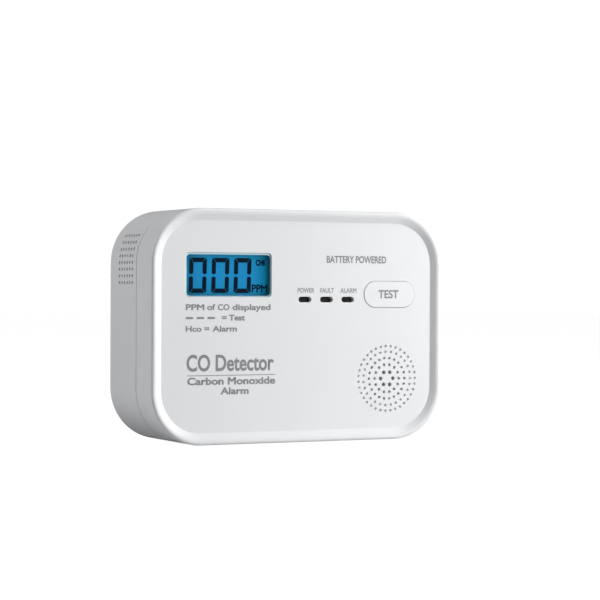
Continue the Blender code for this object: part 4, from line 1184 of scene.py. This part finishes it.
def build_screws():
    """Pan heads with a cross recess, driven from the back."""
    shanks = {f"case_screw_{i}": 1.5 * MM for i in (1, 2, 3, 4)}
    shanks.update({f"pcb_screw_{i}": 1.1 * MM for i in (1, 2, 3)})
    for node, shank in shanks.items():
        low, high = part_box(node)
        x, z = flat((low + high) / 2)
        head = (high.x - low.x) / 2
        name = node.replace("_screw", "_fastener")
        screw = turned(name, screw_outline(low, high, head, shank), (x, z), steps=32)
        arm, blade = 0.52 * head, 0.11 * head
        floor, top = high.y - 0.75 * HEAD_HEIGHT * head, high.y + MM
        for across, up in ((arm, blade), (blade, arm)):
            cut(screw, box("recess", (x - across, floor, z - up), (x + across, top, z + up)))
        piece(screw, "bright_steel", replaces=[node])


# Label on the back


def build_label():
    """A plain film with ruled lines and the cells it takes."""
    low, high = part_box("rating_label")
    y = high.y + INK_LIFT + INK_THICKNESS
    margin = 1.6 * MM
    left, right, front = low.x + margin, high.x - margin, y - INK_THICKNESS
    shapes = []
    for row in range(4):
        z = low.z + (2.2 + 1.7 * row) * MM
        width = (8 if row % 2 else 6.5) * MM
        shapes.append(box("line", (right - width, front, z), (right, y, z + 0.5 * MM)))
    shapes.append(box("rule", (left, front, high.z - 5.4 * MM), (right, y, high.z - 5.2 * MM)))
    words = lettering("words", "3 x AA 1.5 V", (0, 14), (0, 2.2), 0.012, 0, "A")
    place = Matrix.Translation((high.x - 3.6 * MM, front, high.z - 4.4 * MM - MID_Z))
    words.data.transform(place @ Matrix.Rotation(pi, 4, "Z"))
    shapes.append(words)
    piece(merge("printed_label", shapes), "ink")


# CAD nodes that keep their shape

KEPT = {
    "dark_plastic": (
        "lcd_frame", "led_holder", "tact_switch_body", "tact_switch_plunger", "sounder_housing",
        "co_sensor_cap", "microcontroller",
    ),
    "bright_steel": ("co_sensor_can", "crystal"),
    "capacitor_sleeve": ("supply_capacitor", "alarm_capacitor"),
    "wire_red": ("sounder_wire_red", "battery_wire_red"),
    "wire_black": ("sounder_wire_black", "battery_wire_black"),
    "foam": ("sounder_gasket", "vent_filter"),
    "label_film": ("rating_label",), "backlight": ("lcd_backlight",), "contact_rubber": ("zebra_strip",),
    "brass_disc": ("piezo_disc",), "board_green": ("main_pcb",), "ferrite": ("boost_inductor",),
    "socket_nylon": ("battery_socket",),
}


def paint_kept_nodes():
    for surface, names in KEPT.items():
        for name in names:
            node = frame["nodes"][name]
            paint(node, surface)


# Stage


def by_ray(tree, lit, seen):
    """One shader for rays of light, and another for what the camera sees."""
    path = tree.nodes.new("ShaderNodeLightPath")
    mix = tree.nodes.new("ShaderNodeMixShader")
    tree.links.new(path.outputs["Is Camera Ray"], mix.inputs["Fac"])
    tree.links.new(lit, mix.inputs[1])
    tree.links.new(seen, mix.inputs[2])
    return mix.outputs["Shader"]


def build_floor():
    """A matt white floor that glows a little, so that it is nearly as white as the backdrop."""
    bpy.ops.mesh.primitive_plane_add(size=6, location=(0, 0, -0.2 * MM))
    floor = bpy.context.object
    floor.name = "floor"
    made = bpy.data.materials.new("floor")
    made.use_nodes = True
    nodes, links = made.node_tree.nodes, made.node_tree.links
    matt = nodes["Principled BSDF"]
    grey, white = (0.52, 0.52, 0.52, 1), (1, 1, 1, 1)
    set_inputs(matt, Base_Color=grey, Roughness=0.9, Emission_Color=white, Emission_Strength=0.03)
    glow = nodes.new("ShaderNodeEmission")
    set_inputs(glow, Strength=1.3)
    pale = nodes.new("ShaderNodeMixShader")
    set_inputs(pale, Fac=0.75)
    links.new(matt.outputs["BSDF"], pale.inputs[1])
    links.new(glow.outputs["Emission"], pale.inputs[2])
    shader = by_ray(made.node_tree, matt.outputs["BSDF"], pale.outputs["Shader"])
    links.new(shader, nodes["Material Output"].inputs["Surface"])
    floor.data.materials.append(made)


def build_world():
    world = bpy.data.worlds.new("studio")
    bpy.context.scene.world = world
    world.use_nodes = True
    nodes, links = world.node_tree.nodes, world.node_tree.links
    ambient = nodes["Background"]
    set_inputs(ambient, Color=(0.97, 0.98, 1, 1), Strength=0.06)
    backdrop = nodes.new("ShaderNodeBackground")
    set_inputs(backdrop, Color=(1, 1, 1, 1), Strength=1.02)
    shader = by_ray(world.node_tree, ambient.outputs["Background"], backdrop.outputs["Background"])
    links.new(shader, nodes["World Output"].inputs["Surface"])


def softbox(name, azimuth, elevation, distance, side, power):
    """A square soft light aimed at the case; azimuth 0 is in front and 90 to the right."""
    data = bpy.data.lights.new(name, "AREA")
    data.shape = "SQUARE"
    data.size = side
    data.energy = power
    lamp = new_object(name, data)
    a, e = radians(azimuth), radians(elevation)
    target = Vector((0, 0, MID_Z))
    away = Vector((sin(a) * cos(e), -cos(a) * cos(e), sin(e)))
    lamp.location = target + away * distance
    lamp.rotation_euler = (-away).to_track_quat("-Z", "Y").to_euler()


# Azimuth, elevation, distance, side and power of each light
LIGHTS = {
    "key": (54, 6, 0.9, 0.4, 8.6),
    "high": (46, 60, 0.9, 0.45, 3.6),
    "left": (-108, 26, 0.9, 0.45, 3.3),
}
CAMERA_PLACE = (-332.95 * MM, -670.81 * MM, 56.45 * MM)
CAMERA_YAW, CAMERA_PITCH, CAMERA_ROLL = radians(-27.04), radians(0.37), radians(0.25)


def build_camera():
    data = bpy.data.cameras.new("camera")
    data.lens = 120.7
    data.sensor_width = 36
    data.clip_start = 0.05
    camera = new_object("camera", data)
    turn = Matrix.Rotation(CAMERA_YAW, 4, "Z") @ Matrix.Rotation(pi / 2 - CAMERA_PITCH, 4, "X")
    camera.matrix_world = Matrix.Translation(CAMERA_PLACE) @ turn @ Matrix.Rotation(CAMERA_ROLL, 4, "Z")
    bpy.context.scene.camera = camera


build_camera()
build_floor()
build_world()
for light, values in LIGHTS.items():
    softbox(light, *values)
bpy.context.scene.view_settings.view_transform = "Standard"

build_cover()
build_window()
build_display()
build_printing()
build_lamps()
build_button()
build_housing()
build_door()
build_cells()
build_springs()
build_contacts()
build_screws()
build_label()
paint_kept_nodes()
